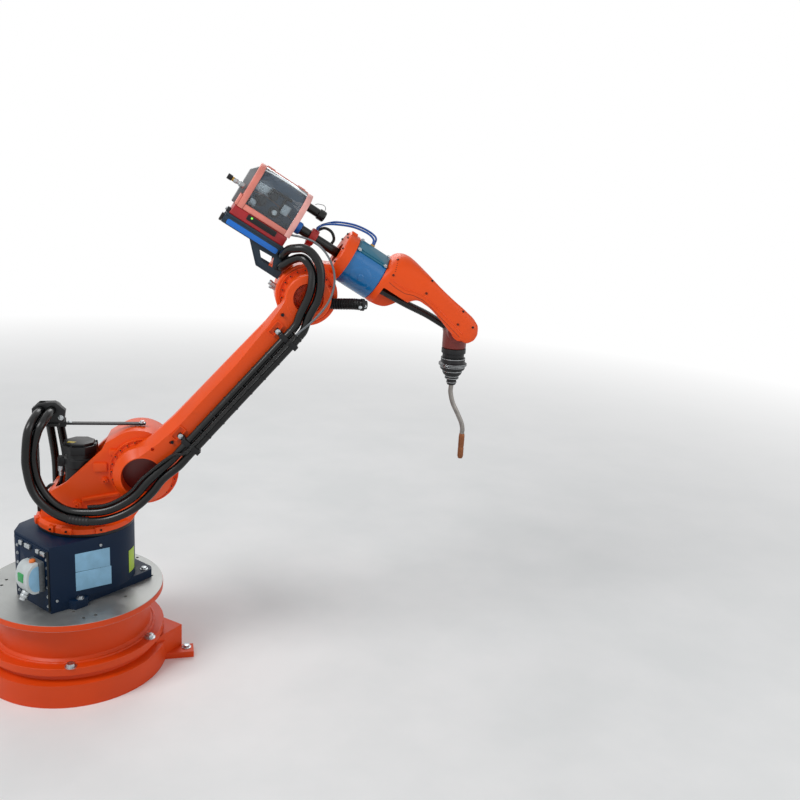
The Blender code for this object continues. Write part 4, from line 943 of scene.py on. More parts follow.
mark = slab([(-0.052, -0.030), (-0.020, -0.038), (-0.012, -0.022), (-0.045, -0.012)], MOTOR_TOP + 0.0498,
            MOTOR_TOP + 0.0504, 0.0002, MOTOR)
piece("a1_motor_mark", mark, yellow_mark, "column", COLUMN)

# The motor's plug and its short lead, down behind the ring
plug = turned([(0, 0.0), (0.011, 0.0), (0.011, 0.020), (0.014, 0.022), (0.014, 0.046), (0.010, 0.050), (0, 0.050)],
              (-0.100, 0.004, 0.510), "Z", 32, 0.001)
piece("a1_motor_plug", plug, zinc, "column", COLUMN)
lead = tube(route([(-0.100, 0.004, 0.512), (-0.103, 0.004, 0.490), (-0.112, 0.006, 0.462), (-0.150, 0.010, 0.462),
                   (-0.180, 0.020, 0.420), (-0.186, 0.030, 0.370), (-0.186, 0.032, 0.352)]), 0.007, 16)
piece("a1_motor_lead", lead, black_plastic, "column", COLUMN)
print("first motor", round(2 * MOTOR_RADIUS, 3), "m wide")

# %% Motor of the second axis
a2_motor = turned([(0, 0), (0.085, 0), (0.085, 0.026), (0.056, 0.030), (0.056, 0.090), (0.0545, 0.092),
                   (0.0545, 0.150), (0.056, 0.156), (0.062, 0.160), (0.062, 0.215), (0.050, 0.225), (0, 0.225)],
                  (BOSS[0], CHEEK_FAR + 0.0003, BOSS[1]), "Y", 56, 0.002)
piece("a2_motor_housing", a2_motor, black_enamel, "column", COLUMN, ("a2_motor",))
motor_spots = on_circle((BOSS[0], CHEEK_FAR + 0.0263, BOSS[1]), 0.073, 8, "Y", 22.5)
piece("a2_motor_bolts", heads(socket_screw, 0.010, motor_spots, FAR), dark_steel, "column", COLUMN)
print("second motor on the far cheek")

# %% [markdown]
# ## Hoses
# Two thick hoses rise behind the column, pass a clamp and hang in a loop before they follow the arm. A hose keeps
# its thickness, so it is a circle carried along a smooth curve.

# %% Hoses of the column
CLAMP = np.array([-0.135, -0.085, 0.838])
HOSE, HOSE_APART = 0.018, 0.0225
HOSE_ROWS = ((-0.222, -0.036), (-0.222, -0.0765))
HOSE_START, HOSE_END = 0.215, 0.905

softened("hose_bracket", black_enamel, "column", 0.0015)
softened("hose_strut", black_enamel, "column", 0.0012)
clamp_line = [(-0.192, 0.7824), (-0.192, 0.845), (-0.163, 0.872), (-0.098, 0.874), (-0.058, 0.838),
              (-0.066, 0.7824)]
hole_pair = copies(cylinder(HOSE + 0.0006, -0.05, 0.05, axis="Y", sides=40),
                   [CLAMP + (-HOSE_APART, 0, 0), CLAMP + (HOSE_APART, 0, 0)])
clamp = cut_from(side_slab(clamp_line, CLAMP[1] - 0.015, CLAMP[1] + 0.015), minus=(hole_pair,))
soft_edges(piece("hose_clamp_block", clamp, black_plastic, "column", COLUMN, ("hose_clamp",)), 0.003, 2)
clamp_bolts = joined(heads(hex_bolt, 0.009, [(x, CLAMP[1] - 0.0150, 0.806) for x in (-0.076, -0.177)], NEAR),
                     moved(hex_bolt(0.011), (0.250, -0.020, 0.7626)),
                     moved(hex_bolt(0.008), (-0.055, -0.020, 0.7626)))
piece("clamp_bolts", clamp_bolts, zinc, "column", COLUMN)

for number, step in ((1, -1), (2, 1)):
    x = CLAMP[0] + step * HOSE_APART
    reach = -0.125 + step * 0.024
    riser = route([(x, CLAMP[1] + 0.005, CLAMP[2]), (x, -0.02, CLAMP[2]), (x, 0.05, CLAMP[2] - 0.03),
                   (x, 0.10, CLAMP[2] - 0.13), (reach, 0.140, 0.55), (reach, 0.150, 0.43),
                   (reach, 0.150, 0.3494)])
    piece(f"riser_hose_{number}_rubber", tube(riser, HOSE), hose_rubber, "column", COLUMN,
          (f"riser_hose_{number}",))

print("risers done")

# %% Loops of the column
# Each loop passes through these points, on the column's axes, before it lies down on the link arm
link_in_column = (carried([joint_at("a2_lean")], FLOOR, COLUMN)[0], LINK[1] @ COLUMN[1].T)
LOOPS = {1: [(-0.118, -0.160, 0.833), (-0.136, -0.203, 0.806), (-0.152, -0.212, 0.772), (-0.172, -0.203, 0.696),
             (-0.173, -0.202, 0.624), (-0.155, -0.202, 0.545), (-0.110, -0.202, 0.470), (-0.045, -0.203, 0.425),
             (0.045, -0.216, 0.421), (0.121, -0.228, 0.434), (0.188, -0.231, 0.465), (0.242, -0.229, 0.506),
             (0.293, -0.226, 0.566)],
         2: [(-0.162, -0.165, 0.835), (-0.176, -0.212, 0.808), (-0.187, -0.230, 0.768), (-0.196, -0.232, 0.688),
             (-0.196, -0.232, 0.624), (-0.179, -0.232, 0.534), (-0.139, -0.232, 0.466), (-0.067, -0.232, 0.410),
             (0.014, -0.232, 0.388), (0.105, -0.232, 0.390), (0.183, -0.231, 0.415), (0.245, -0.229, 0.453),
             (0.305, -0.226, 0.512), (0.351, -0.223, 0.572)]}
BEND_FROM, BEND_TO = laid([(-0.02, -0.232, 0.55), (0.39, -0.232, 0.55)], COLUMN)
for number, (y, z) in enumerate(HOSE_ROWS, 1):
    x = CLAMP[0] + (HOSE_APART if number == 1 else -HOSE_APART)
    on_arm = laid([(HOSE_START - 0.07, y, z), (HOSE_START - 0.0003, y, z)], link_in_column)
    loop = route([(x, CLAMP[1], CLAMP[2]), (x, CLAMP[1] - 0.035, CLAMP[2]), *LOOPS[number], *on_arm])
    piece(f"lower_loop_{number}_rubber", tube(loop, HOSE, 24), hose_rubber, "column", COLUMN,
          (f"lower_loop_{number}",), ("link_arm", BEND_FROM, BEND_TO))
    if number == 2:
        taped = stepped(loop, 0.004)[0]
        low_part = taped[(taped[:, 0] > -0.045) & (taped[:, 0] < 0.045) & (taped[:, 2] < 0.45)]
        wraps = ribbed(low_part, HOSE + 0.0022, 0.014, 0.0014, 24)
        piece("loop_tape", wraps, black_plastic, "column", COLUMN, (), ("link_arm", BEND_FROM, BEND_TO))
print("column hoses done")

# %% [markdown]
# ## Link arm
# The long arm is a box beam of cast aluminium with a round boss at each end. Its near face carries the hoses in
# clips, held every hand's breadth by cable ties. Through the bosses' bores one sees the gear's screws.

# %% Link arm
ARM_NEAR, ARM_FAR = -0.200, -0.1155
LOW_RING, LOW_BORE, LOW_DEPTH = 0.125, 0.088, 0.072
TOP_RING, TOP_BORE, TOP_DEPTH = 0.097, 0.064, 0.062
# The beam's stations: x, ridge of the top, top and bottom of the near face, and underside
BEAM = np.array([(0.060, 0.106, 0.070, -0.066, -0.106), (0.155, 0.083, 0.050, -0.036, -0.083),
                 (0.280, 0.073, 0.036, -0.024, -0.071), (0.440, 0.069, 0.036, -0.022, -0.064),
                 (0.640, 0.065, 0.034, -0.022, -0.060), (0.850, 0.060, 0.046, -0.027, -0.057),
                 (0.950, 0.064, 0.060, -0.036, -0.062), (1.000, 0.076, 0.072, -0.060, -0.075)])
x, ridge, high, low, under = BEAM.T
near, slope, far = ARM_NEAR + 0.0015 + 0 * x, ARM_NEAR + 0.050 + 0 * x, ARM_FAR - 0.0015 + 0 * x
corners = ((x, near, high), (x, slope, ridge), (x, far, ridge), (x, far, under), (x, slope, under), (x, near, low))
beam = grid(np.stack([np.stack(corner, axis=1) for corner in corners], axis=1))
thick = ARM_FAR - ARM_NEAR
low_ring = turned([(0, 0), (LOW_RING, 0), (LOW_RING, thick - 0.036), (LOW_BORE + 0.004, thick), (0, thick)],
                  (0, ARM_FAR, 0), "-Y", 96, 0.0)
top_ring = turned([(0, 0), (TOP_RING, 0), (TOP_RING, thick - 0.005), (TOP_RING - 0.005, thick), (0, thick)],
                  (LINK_LENGTH, ARM_FAR, 0), "-Y", 96, 0.0)
bores = joined(cylinder(LOW_BORE, -0.01, LOW_DEPTH, (0, ARM_NEAR, 0), "Y", 96),
               cylinder(TOP_BORE, -0.01, TOP_DEPTH, (LINK_LENGTH, ARM_NEAR, 0), "Y", 72),
               *[cylinder(0.008, -0.01, 0.0155, (hx, ARM_NEAR, hz), "Y", 20)
                 for hx, hz in ((0.126, 0.050), (0.200, 0.012), (0.925, 0.034))])
arm_shape = cut_from(beam, (low_ring, top_ring), (bores,))
soft_edges(piece("link_arm_casting", arm_shape, cast_enamel, "link_arm", LINK, ("link_arm",)), 0.004, 3)
print("link arm casting,", len(BEAM), "stations")

# %% Inside the bores of the link arm
top_middle = np.array([LINK_LENGTH, ARM_NEAR + TOP_DEPTH, 0.0])
disc = turned([(0, 0), (0.052, 0), (0.052, 0.006), (0.034, 0.006), (0.034, 0.010), (0.018, 0.010), (0.018, 0.004),
               (0, 0.004)], top_middle, "-Y", 48, 0.001)
piece("top_bore_flange", disc, cast_enamel, "link_arm", LINK)
bore_screws = joined(heads(socket_screw, 0.009, on_circle(top_middle + (0, -0.002, 0), 0.043, 9), NEAR),
                     heads(socket_screw, 0.007, on_circle(top_middle + (0, -0.006, 0), 0.026, 6), NEAR))
piece("top_bore_screws", bore_screws, cast_enamel, "link_arm", LINK)
# A dark red-brown disc on the low bore's floor: painted shade for the deep bore
low_bore_shade_disc = turned([(0, 0), (LOW_BORE - 0.0005, 0), (LOW_BORE - 0.0005, 0.002), (0, 0.002)],
                   (0.0, ARM_NEAR + LOW_DEPTH, 0.0), "-Y", 72, 0.0005)
piece("low_bore_painted_shade", low_bore_shade_disc, wrist_enamel, "link_arm", LINK)
print("bores dressed")

# %% Hoses on the link arm
# Two thick hoses lie straight along the arm. The thin one stays beside the first loop, above it in its own plane
for number, (y, z) in enumerate(HOSE_ROWS, 1):
    along = np.linspace(HOSE_START, HOSE_END, 60)
    straight = np.column_stack([along, y + 0 * along, z + 0 * along])
    piece(f"arm_hose_{number}_rubber", tube(straight, HOSE), hose_rubber, "link_arm", LINK,
          (f"arm_hose_{number}",))
lead = np.array(LOOPS[1][8:])
rise = np.gradient(lead, axis=0)
rise = np.stack([-rise[:, 2], 0 * rise[:, 0], rise[:, 0]], axis=1) / np.hypot(rise[:, 0], rise[:, 2])[:, None]
beside = carried(lead + (HOSE + 0.0085) * rise + (0, -0.004, 0), COLUMN, LINK)
THIN_Y, THIN_Z = -0.2546, -0.055
thin = route([*beside, (0.165, -0.2430, -0.0200), (0.215, THIN_Y, -0.0500), (0.30, THIN_Y, THIN_Z),
              (0.60, THIN_Y, THIN_Z), (HOSE_END, THIN_Y, THIN_Z)])
piece("arm_hose_3_corrugated", ribbed(thin, 0.008, 0.005, 0.0016, 14), hose_rubber, "link_arm", LINK,
      ("arm_hose_3",), ("column", BEND_TO, BEND_FROM))
print("arm hoses", round(HOSE_END - HOSE_START, 2), "m long")

# %% Ties and clips of the link arm


def hoop(outline, thick, low, high, axis="X"):
    """A band round an outline: an outer and an inner ring, each raised from low to high."""
    outline = np.asarray(outline, float)
    doubled = outline[:, 0] * np.roll(outline[:, 1], -1) - np.roll(outline[:, 0], -1) * outline[:, 1]
    outline = outline if doubled.sum() > 0 else outline[::-1]
    outer = outline + outline_normals(outline) * thick
    rings = [(outline, low), (outer, low), (outer, high), (outline, high), (outline, low)]
    verts = np.stack([np.column_stack([flat, np.full(len(flat), height)]) for flat, height in rings])
    return moved(grid(verts, ends=(False, False)), (0, 0, 0), AXES[axis])


def stadium(first, second, radius):
    """The outline round two equal circles in (y, z): a half circle behind the first and one before the second."""
    first, second = np.array(first, float), np.array(second, float)
    heading = math.atan2(*(second - first)[::-1])
    turn = heading + np.linspace(math.pi / 2, 3 * math.pi / 2, 10)
    back = first + radius * np.column_stack([np.cos(turn), np.sin(turn)])
    front = second + radius * np.column_stack([np.cos(turn + math.pi), np.sin(turn + math.pi)])
    return np.concatenate([back, front])


bundle = stadium(*HOSE_ROWS, HOSE + 0.0004)
ties = []
for x in (0.330, 0.415, 0.500, 0.590, 0.675, 0.760, 0.895):
    ties.append(hoop(bundle, 0.0014, x - 0.0028, x + 0.0028))
    ties.append(rounded_box((x - 0.005, -0.247, -0.064), (x + 0.005, -0.2395, -0.053), 0.001, 0.0006, "X"))
piece("arm_cable_ties", joined(*ties), black_plastic, "link_arm", LINK)
CLIP_FACE = -0.2463
CLIPS = {"lower_hose_clip": 0.250, "upper_hose_clip": 0.860}
for node, x in CLIPS.items():
    strap_line = [(-0.1988, 0.014), (-0.212, 0.014), (-0.212, -0.010), (CLIP_FACE, -0.010), (CLIP_FACE, -0.101),
                  (-0.200, -0.101), (-0.200, -0.095), (CLIP_FACE + 0.006, -0.095), (CLIP_FACE + 0.006, -0.0175),
                  (-0.1988, -0.0175)]
    piece(node + "_strap", slab(strap_line, x - 0.011, x + 0.011, 0.0012, axis="X"), black_plastic, "link_arm",
          LINK, (node,))
    lip = hoop([(x - 0.026, 0.004), (x + 0.030, 0.004), (x + 0.030, 0.030), (x - 0.026, 0.030)], 0.004,
               0.1998, 0.2062, "-Y")
    piece(node + "_recess", lip, cast_enamel, "link_arm", LINK)
clip_bolts = heads(hex_bolt, 0.009, [(x, -0.2120, 0.002) for x in CLIPS.values()], NEAR)
face_screws = heads(socket_screw, 0.009, [(0.205, -0.199, 0.010), (0.925, -0.199, 0.034)], NEAR)
piece("arm_bolts", clip_bolts, zinc, "link_arm", LINK)
piece("arm_face_screws", face_screws, dark_steel, "link_arm", LINK)
print("link arm dressed,", len(ties) // 2, "ties")

# %% [markdown]
# ## Elbow
# The elbow's housing carries the feeder behind and the forearm ahead. Round the third axis a ring of screws closes
# the gear. A blue drum holds the fourth axis, with a flat cover of its own.

# %% Elbow housing
softened("arm_housing", cast_enamel, "arm_housing", 0.004, 3)
ELBOW_FACE = -0.1148
ELBOW_CIRCLE, ELBOW_SCREWS = 0.1085, 20
elbow_ring = turned([(0.0, -0.0983), (0.120, -0.0983), (0.120, ELBOW_FACE), (0.116, ELBOW_FACE),
                     (0.116, ELBOW_FACE + 0.004), (0.101, ELBOW_FACE + 0.004), (0.101, ELBOW_FACE),
                     (0, ELBOW_FACE)], (0, 0, 0), "Y", 96, 0.0008)
piece("elbow_ring_casting", elbow_ring, cast_enamel, "arm_housing", ELBOW, ("a3_bolt_ring",))
circle = on_circle((0, ELBOW_FACE + 0.0045, 0), ELBOW_CIRCLE, ELBOW_SCREWS)
piece("a3_ring_screws", heads(socket_screw, 0.0085, circle, NEAR), cast_enamel, "arm_housing", ELBOW)
# Dark discs over the screws' sockets: painted shade in the socket holes
circle = circle + (0, -0.0083, 0)
piece("a3_ring_socket_shade", heads(socket_shade_disc, 0.0030, circle, NEAR), dark_steel, "arm_housing", ELBOW)
print("elbow ring with", ELBOW_SCREWS, "screws")

# %% Drum of the fourth axis
DRUM, DRUM_Z = 0.104, 0.220
DRUM_START, DRUM_END, FLAT = 0.0783, 0.2355, 0.096
# The flat is milled for the cover, and turned 33 degrees to the near side
tilt = math.radians(33)
tilted = [(1, 0, 0), (0, math.cos(tilt), math.sin(tilt)), (0, -math.sin(tilt), math.cos(tilt))]
round_drum = turned([(0, DRUM_START), (DRUM, DRUM_START), (DRUM, DRUM_END - 0.004), (DRUM - 0.004, DRUM_END),
                     (0, DRUM_END)], (0, 0, 0), "X", 96, 0.0)
milled = rounded_box((DRUM_START - 0.01, -0.08, FLAT), (DRUM_END + 0.01, 0.08, FLAT + 0.05), 0.002, 0.001)
drum = moved(cut_from(round_drum, minus=(moved(milled, turn=tilted),)), (0, 0, DRUM_Z))
soft_edges(piece("drum_casting", drum, blue_enamel, "arm_housing", ELBOW, ("drive_cylinder",)), 0.0015, 2)
cover = joined(rounded_box((DRUM_START + 0.002, -0.040, FLAT + 0.0003), (DRUM_END - 0.002, 0.040, FLAT + 0.008),
                           0.004, 0.0015),
               rounded_box((DRUM_START + 0.010, -0.031, FLAT + 0.0081), (DRUM_END - 0.010, 0.031, FLAT + 0.011),
                           0.004, 0.0012))
piece("drum_cover_plate", moved(cover, (0, 0, DRUM_Z), tilted), teal_enamel, "arm_housing", ELBOW,
      ("cylinder_cover",))
cover_spots = [(x, y, FLAT + 0.0080) for x in (0.090, 0.223) for y in (-0.0355, 0.0355)]
cover_screws = moved(heads(hex_bolt, 0.0075, cover_spots), (0, 0, DRUM_Z), tilted)
piece("cover_screws", cover_screws, zinc, "arm_housing", ELBOW)
flange_spots = on_circle((0.0285, 0, DRUM_Z), 0.095, 9, "-X", 20.0)
piece("flange_screws", heads(socket_screw, 0.006, flange_spots, REAR), dark_steel, "arm_housing", ELBOW)
lifting_lug = rounded_box((0.034, -0.022, DRUM_Z + 0.100), (0.062, 0.012, DRUM_Z + 0.117), 0.006, 0.003, "X")
piece("flange_lug", lifting_lug, cast_enamel, "arm_housing", ELBOW)


def oval_on_drum(radius, middle_x, middle_angle, half_x, half_angle, lift):
    """An oval pad pressed out of a drum: its height falls from the middle as (1 - s^2)^2, s from 0 to 1."""
    s = np.linspace(0, 1, 12)[:, None]
    turn = (np.arange(48) * 2 * math.pi / 48)[None]
    x = middle_x + half_x * s * np.cos(turn)
    around = middle_angle + half_angle * s * np.sin(turn)
    reach = radius - 0.0006 + lift * np.minimum((1 - s ** 2) * 2.2, 1.0)
    verts = np.stack([x, reach * np.cos(around), reach * np.sin(around)], axis=-1)
    return grid(verts[::-1], ends=(False, False))


emboss = joined(oval_on_drum(DRUM, 0.155, math.radians(200), 0.056, 0.52, 0.0026),
                oval_on_drum(DRUM + 0.0024, 0.155, math.radians(198), 0.014, 0.16, 0.0026))
piece("drum_emboss", moved(emboss, (0, 0, DRUM_Z)), blue_enamel, "arm_housing", ELBOW)
print("drum", round(DRUM_END - DRUM_START, 3), "m long")

# %% Motor and plugs of the elbow
a3_motor = turned([(0, 0), (0.072, 0), (0.072, 0.020), (0.050, 0.024), (0.050, 0.080), (0.0485, 0.082),
                   (0.0485, 0.134), (0.054, 0.140), (0.054, 0.192), (0.046, 0.200), (0, 0.200)],
                  (0, 0.0903, 0), "Y", 56, 0.002)
piece("a3_motor_housing", a3_motor, black_enamel, "arm_housing", ELBOW, ("a3_motor",))
plugs = joined(*[turned([(0, 0), (0.009, 0), (0.009, neck), (0.011, neck + 0.002), (0.011, neck + 0.014),
                         (0, neck + 0.014)], spot, "-X", 24, 0.001)
                 for neck, spot in ((0.022, (-0.125, -0.050, -0.040)), (0.016, (-0.118, -0.020, -0.055)))])
piece("elbow_plugs", plugs, zinc, "arm_housing", ELBOW)
print("elbow dressed")

# %% [markdown]
# ## Hoses over the elbow
# The thick hoses leave the arm and arch over the elbow to the feeder's bracket. A thin grey cable keeps them
# company. Beside the drum a corrugated hose carries the lines on, and two blue air hoses cross above it.

# %% Loops over the elbow
# Each loop passes through these points, on the elbow's axes, and ends square to the bracket's near plate
BRACKET_NEAR = -0.0806
OVER = {1: [(0.002, -0.221, -0.070), (-0.008, -0.2215, 0.010), (-0.026, -0.2180, 0.066), (-0.052, -0.205, 0.108),
            (-0.092, -0.188, 0.130), (-0.118, -0.166, 0.124), (-0.140, -0.142, 0.094), (-0.152, -0.118, 0.060),
            (-0.155, -0.100, 0.045), (-0.155, BRACKET_NEAR, 0.045)],
        2: [(0.037, -0.222, -0.059), (0.031, -0.224, 0.012), (0.012, -0.226, 0.069), (-0.022, -0.226, 0.126),
            (-0.055, -0.222, 0.155), (-0.095, -0.212, 0.170), (-0.129, -0.200, 0.167), (-0.153, -0.184, 0.150),
            (-0.172, -0.160, 0.130), (-0.177, -0.132, 0.104), (-0.176, -0.105, 0.090),
            (-0.176, BRACKET_NEAR, 0.090)]}
bend_start = laid((0.955, -0.222, -0.05), LINK)
bend_end = laid((-0.02, -0.222, 0.07), ELBOW)
for number, (y, z) in enumerate(HOSE_ROWS, 1):
    on_elbow = carried(OVER[number], ELBOW, LINK)
    loop = route([(HOSE_END + 0.0003, y, z), (HOSE_END + 0.035, y, z + 0.005), *on_elbow])
    piece(f"upper_loop_{number}_rubber", tube(loop, HOSE), hose_rubber, "link_arm", LINK,
          (f"upper_loop_{number}",), ("arm_housing", bend_start, bend_end))
thin_end = carried([(0.062, -0.240, -0.050), (0.072, -0.236, 0.030), (0.058, -0.236, 0.100),
                    (0.020, -0.226, 0.160), (-0.040, -0.205, 0.200), (-0.100, -0.170, 0.212),
                    (-0.150, -0.130, 0.200),
                    (-0.1885, -0.095, 0.182)], ELBOW, LINK)
cable = route([(HOSE_END, -0.2500, -0.055), (HOSE_END + 0.030, -0.2500, -0.060), *thin_end])
piece("grey_cable", tube(cable, 0.0045, 12), grey_cable, "link_arm", LINK, (),
      ("arm_housing", bend_start, bend_end))
print("loops over the elbow done")

# %% Hoses at the drum
fat = route([(0.078, -0.146, 0.020), (0.110, -0.143, 0.034), (0.150, -0.138, 0.057), (0.184, -0.133, 0.077),
             (0.213, -0.128, 0.091)])
piece("drum_hose_corrugated", ribbed(fat, 0.025, 0.007, 0.0035, 28), hose_rubber, "arm_housing", ELBOW,
      ("corrugated_hose",))
tip = fat[-1] + 0.002 * (fat[-1] - fat[-2]) / np.linalg.norm(fat[-1] - fat[-2])
fitting = turned([(0, 0), (0.0265, 0), (0.0265, 0.014), (0.019, 0.016), (0.019, 0.026), (0.012, 0.028),
                  (0, 0.028)], (0, 0, 0), "Z", 32, 0.001)
fitting = copies(fitting, [tip], pose_to(fat[-1] - fat[-2]))
piece("drum_hose_fitting", fitting, black_plastic, "arm_housing", ELBOW)
fitting_screws = heads(hex_bolt, 0.006, [tip + (0.000, -0.026, -0.010), tip + (0.016, -0.019, 0.004)], NEAR)
piece("drum_hose_screws", fitting_screws, zinc, "arm_housing", ELBOW)
AIR_ENDS = [(0.138, -0.010, 0.3240), (0.148, 0.008, 0.3240)]
for number, (end, y, _) in enumerate(AIR_ENDS, 1):
    rise = 0.010 * (number - 1)
    air = route([(-0.100, y, 0.2563), (-0.100, y, 0.268), (-0.085, y, 0.292), (-0.046, y, 0.319 + rise),
                 (0.024, y, 0.351 + rise), (0.090, y, 0.363 + rise), (end - 0.010, y, 0.357 + rise),
                 (end, y, 0.338), (end, y, 0.3245)])
    piece(f"air_hose_{number}_tube", tube(air, 0.0046, 12), blue_hose, "arm_housing", ELBOW,
          (f"air_hose_{number}",))
hose_nut = turned([(0, 0), (0.007, 0), (0.007, 0.010), (0.0045, 0.012), (0, 0.012)], sides=6)
piece("air_hose_nuts", copies(hose_nut, AIR_ENDS), brass, "arm_housing", ELBOW)
print("hoses at the drum done")

# %% [markdown]
# ## Wire feeder
# The feeder rides behind the elbow: a red moulded base with a control strip, a salmon frame that arches over it,
# and a smoky lid through which the drive rollers show. Its bracket is folded slate-coloured plate.

# %% Bracket of the feeder
plate_line = [(-0.462, 0.1190), (-0.470, 0.082), (-0.328, 0.073), (-0.249, -0.008), (-0.140, -0.010),
              (-0.137, 0.093), (-0.190, 0.1190)]
window_line = [(-0.268, 0.057), (-0.200, 0.060), (-0.184, 0.021), (-0.236, 0.020)]
window = side_slab(window_line, -0.2, 0.2)
bracket = joined(cut_from(side_slab(plate_line, -0.0803, -0.0703), minus=(window,)),
                 cut_from(side_slab(plate_line, 0.0703, 0.0803), minus=(window,)))
soft_edges(piece("bracket_plates", bracket, slate_enamel, "arm_housing", ELBOW, ("feeder_bracket",)), 0.001, 2)
tray = rounded_box((-0.462, -0.1035, 0.108), (-0.197, 0.095, 0.120), 0.004, 0.0015)
piece("bracket_tray_plate", tray, slate_enamel, "arm_housing", ELBOW)
stripe = rounded_box((-0.446, -0.1062, 0.0775), (-0.204, -0.1042, 0.1005), 0.006, 0.0008, "Y")
piece("bracket_stripe", stripe, stripe_blue, "arm_housing", ELBOW)
hanger = rounded_box((-0.466, -0.1038, 0.074), (-0.198, -0.0806, 0.1078), 0.004, 0.001, "Y")
piece("bracket_edge", hanger, slate_enamel, "arm_housing", ELBOW)
near_bolts = [(-0.170, -0.0803, 0.030), (-0.170, -0.0803, 0.075), (-0.438, -0.0803, 0.100)]
bracket_bolts = joined(heads(hex_bolt, 0.009, near_bolts, NEAR),
                       heads(hex_bolt, 0.009, [(-0.170, 0.0803, 0.030), (-0.170, 0.0803, 0.070)], FAR))
piece("bracket_bolts", bracket_bolts, dark_steel, "arm_housing", ELBOW)
clamp_end = joined(rounded_box((-0.478, -0.104, 0.0745), (-0.4668, -0.058, 0.1085), 0.004, 0.002, "X"),
                   rounded_box((-0.470, -0.100, 0.1205), (-0.4560, -0.066, 0.142), 0.003, 0.001, "X"))
piece("bracket_clamp", clamp_end, black_plastic, "arm_housing", ELBOW)
piece("bracket_clamp_bolt", heads(hex_bolt, 0.008, [(-0.470, -0.083, 0.131)], REAR), zinc, "arm_housing", ELBOW)
print("bracket done")

# %% Base and back box of the feeder
softened("feeder_body", red_plastic, "arm_housing", 0.003)
box_line = [(-0.468, 0.1633), (-0.200, 0.1633), (-0.200, 0.354), (-0.436, 0.354), (-0.468, 0.318)]
back_box = cut_from(side_slab(box_line, 0.0003, 0.095))
soft_edges(piece("feeder_box_moulding", back_box, grey_plastic, "arm_housing", ELBOW, ("feeder_back_box",)),
           0.006, 3)
strip = rounded_box((-0.384, -0.108, 0.1365), (-0.246, -0.1043, 0.1605), 0.004, 0.001, "Y")
piece("control_panel", strip, black_plastic, "arm_housing", ELBOW, ("control_strip",))
keys = [rounded_box((x, -0.1092, 0.142), (x + 0.010, -0.1078, 0.155), 0.002, 0.0005, "Y")
        for x in (-0.318, -0.304, -0.290, -0.276, -0.262)]
piece("control_keys", joined(*keys), black_enamel, "arm_housing", ELBOW)


def lamp(name, code):
    """A small lit lamp: its own colour, glowing a little."""
    made, tree, shader, where = material(name)
    glow = tinted(tree, noise(tree, where, 0.004), shade(code, 0.9), shade(code, 1.1))
    tree.links.new(glow, shader.inputs["Base Color"])
    shader.inputs["Emission Color"].default_value = colour(code)
    shader.inputs["Emission Strength"].default_value = 0.9
    return made


# A small lit dome: its glow keeps it green in shade
green_lamp = lamp("green_lamp_lens", "7CE04A")
lens_cap = turned([(0, 0), (0.0045, 0), (0.0040, 0.0022), (0, 0.0030)], (-0.364, -0.1080, 0.152), "-Y", 24, 0.001)
piece("green_lamp", lens_cap, green_lamp, "arm_housing", ELBOW)
print("feeder base done")

# %% Lid of the feeder
FRAME_TOP, LID_LOW = 0.368, 0.1636
LID_REAR, LID_FRONT = -0.4170, -0.2160


def arch(inset, low):
    """The lid's line in (y, z): up the near side, round a bend of 85 mm and over the top."""
    near, high, radius = -0.104 + inset, FRAME_TOP - inset, 0.085
    curve = bend(near + radius, high - radius, radius, 172, 95)
    return np.concatenate([[(near, low), (near - 0.006, (low + high) / 2)], curve, [(0.0, high)]])


def arch_wall(start, end):
    """A wall between two x under the lid's line, closed on the far side."""
    return slab(np.concatenate([arch(0.0, LID_LOW), [(0.0, LID_LOW)]]), start, end, 0.002, axis="X")


hinge_block = rounded_box((-0.4548, -0.1035, LID_LOW), (-0.4432, -0.002, 0.215), 0.006, 0.003, "X")
piece("frame_back_arch", joined(arch_wall(-0.443, -0.4175), hinge_block), salmon_plastic, "arm_housing", ELBOW,
      ("feeder_frame",))
piece("frame_front_arch", arch_wall(-0.2155, -0.190), pale_salmon, "arm_housing", ELBOW)
sill = rounded_box((LID_REAR, -0.1040, LID_LOW), (LID_FRONT, -0.0885, 0.1885), 0.005, 0.003, "X")
piece("frame_sill", sill, salmon_plastic, "arm_housing", ELBOW)
sheet = np.concatenate([arch(0.003, 0.1890), arch(0.0055, 0.1890)[::-1]])
piece("smoky_lid", slab(sheet, LID_REAR, LID_FRONT, 0.0006, axis="X"), smoky_sheet, "arm_housing", ELBOW,
      ("feeder_window",))
top_rail = rounded_box((LID_REAR, -0.012, 0.3645), (LID_FRONT, 0.000, 0.3690), 0.002, 0.001, "X")
hinges = copies(turned([(0, 0), (0.006, 0), (0.006, 0.036), (0, 0.036)], (0, 0, 0), "X", 24, 0.001),
                [(-0.415, 0.004, 0.3665), (-0.266, 0.004, 0.3665)])
piece("lid_rail", joined(top_rail, hinges), salmon_plastic, "arm_housing", ELBOW)
print("lid", round(LID_FRONT - LID_REAR, 3), "m wide")

# %% Gears and rollers of the feeder
DRIVE_FACE = -0.026
wall = rounded_box((-0.4165, DRIVE_FACE, LID_LOW), (-0.2165, -0.010, 0.350), 0.006, 0.002, "Y")
piece("drive_wall", wall, inner_grey, "arm_housing", ELBOW, ("drive_unit",))


def gear(middle, radius, depth, teeth, start):
    """A spur gear seen from -Y: the rim's radius steps in and out once per tooth, as a clipped sine."""
    turn = np.arange(teeth * 8) * 2 * math.pi / (teeth * 8)
    rim = radius - 0.0016 + 0.0016 * np.clip(3 * np.sin(teeth * turn), -1, 1)
    outline = np.column_stack([rim * np.cos(turn), rim * np.sin(turn)])
    return slab(outline, start, start + depth, 0.0004, middle, "-Y")


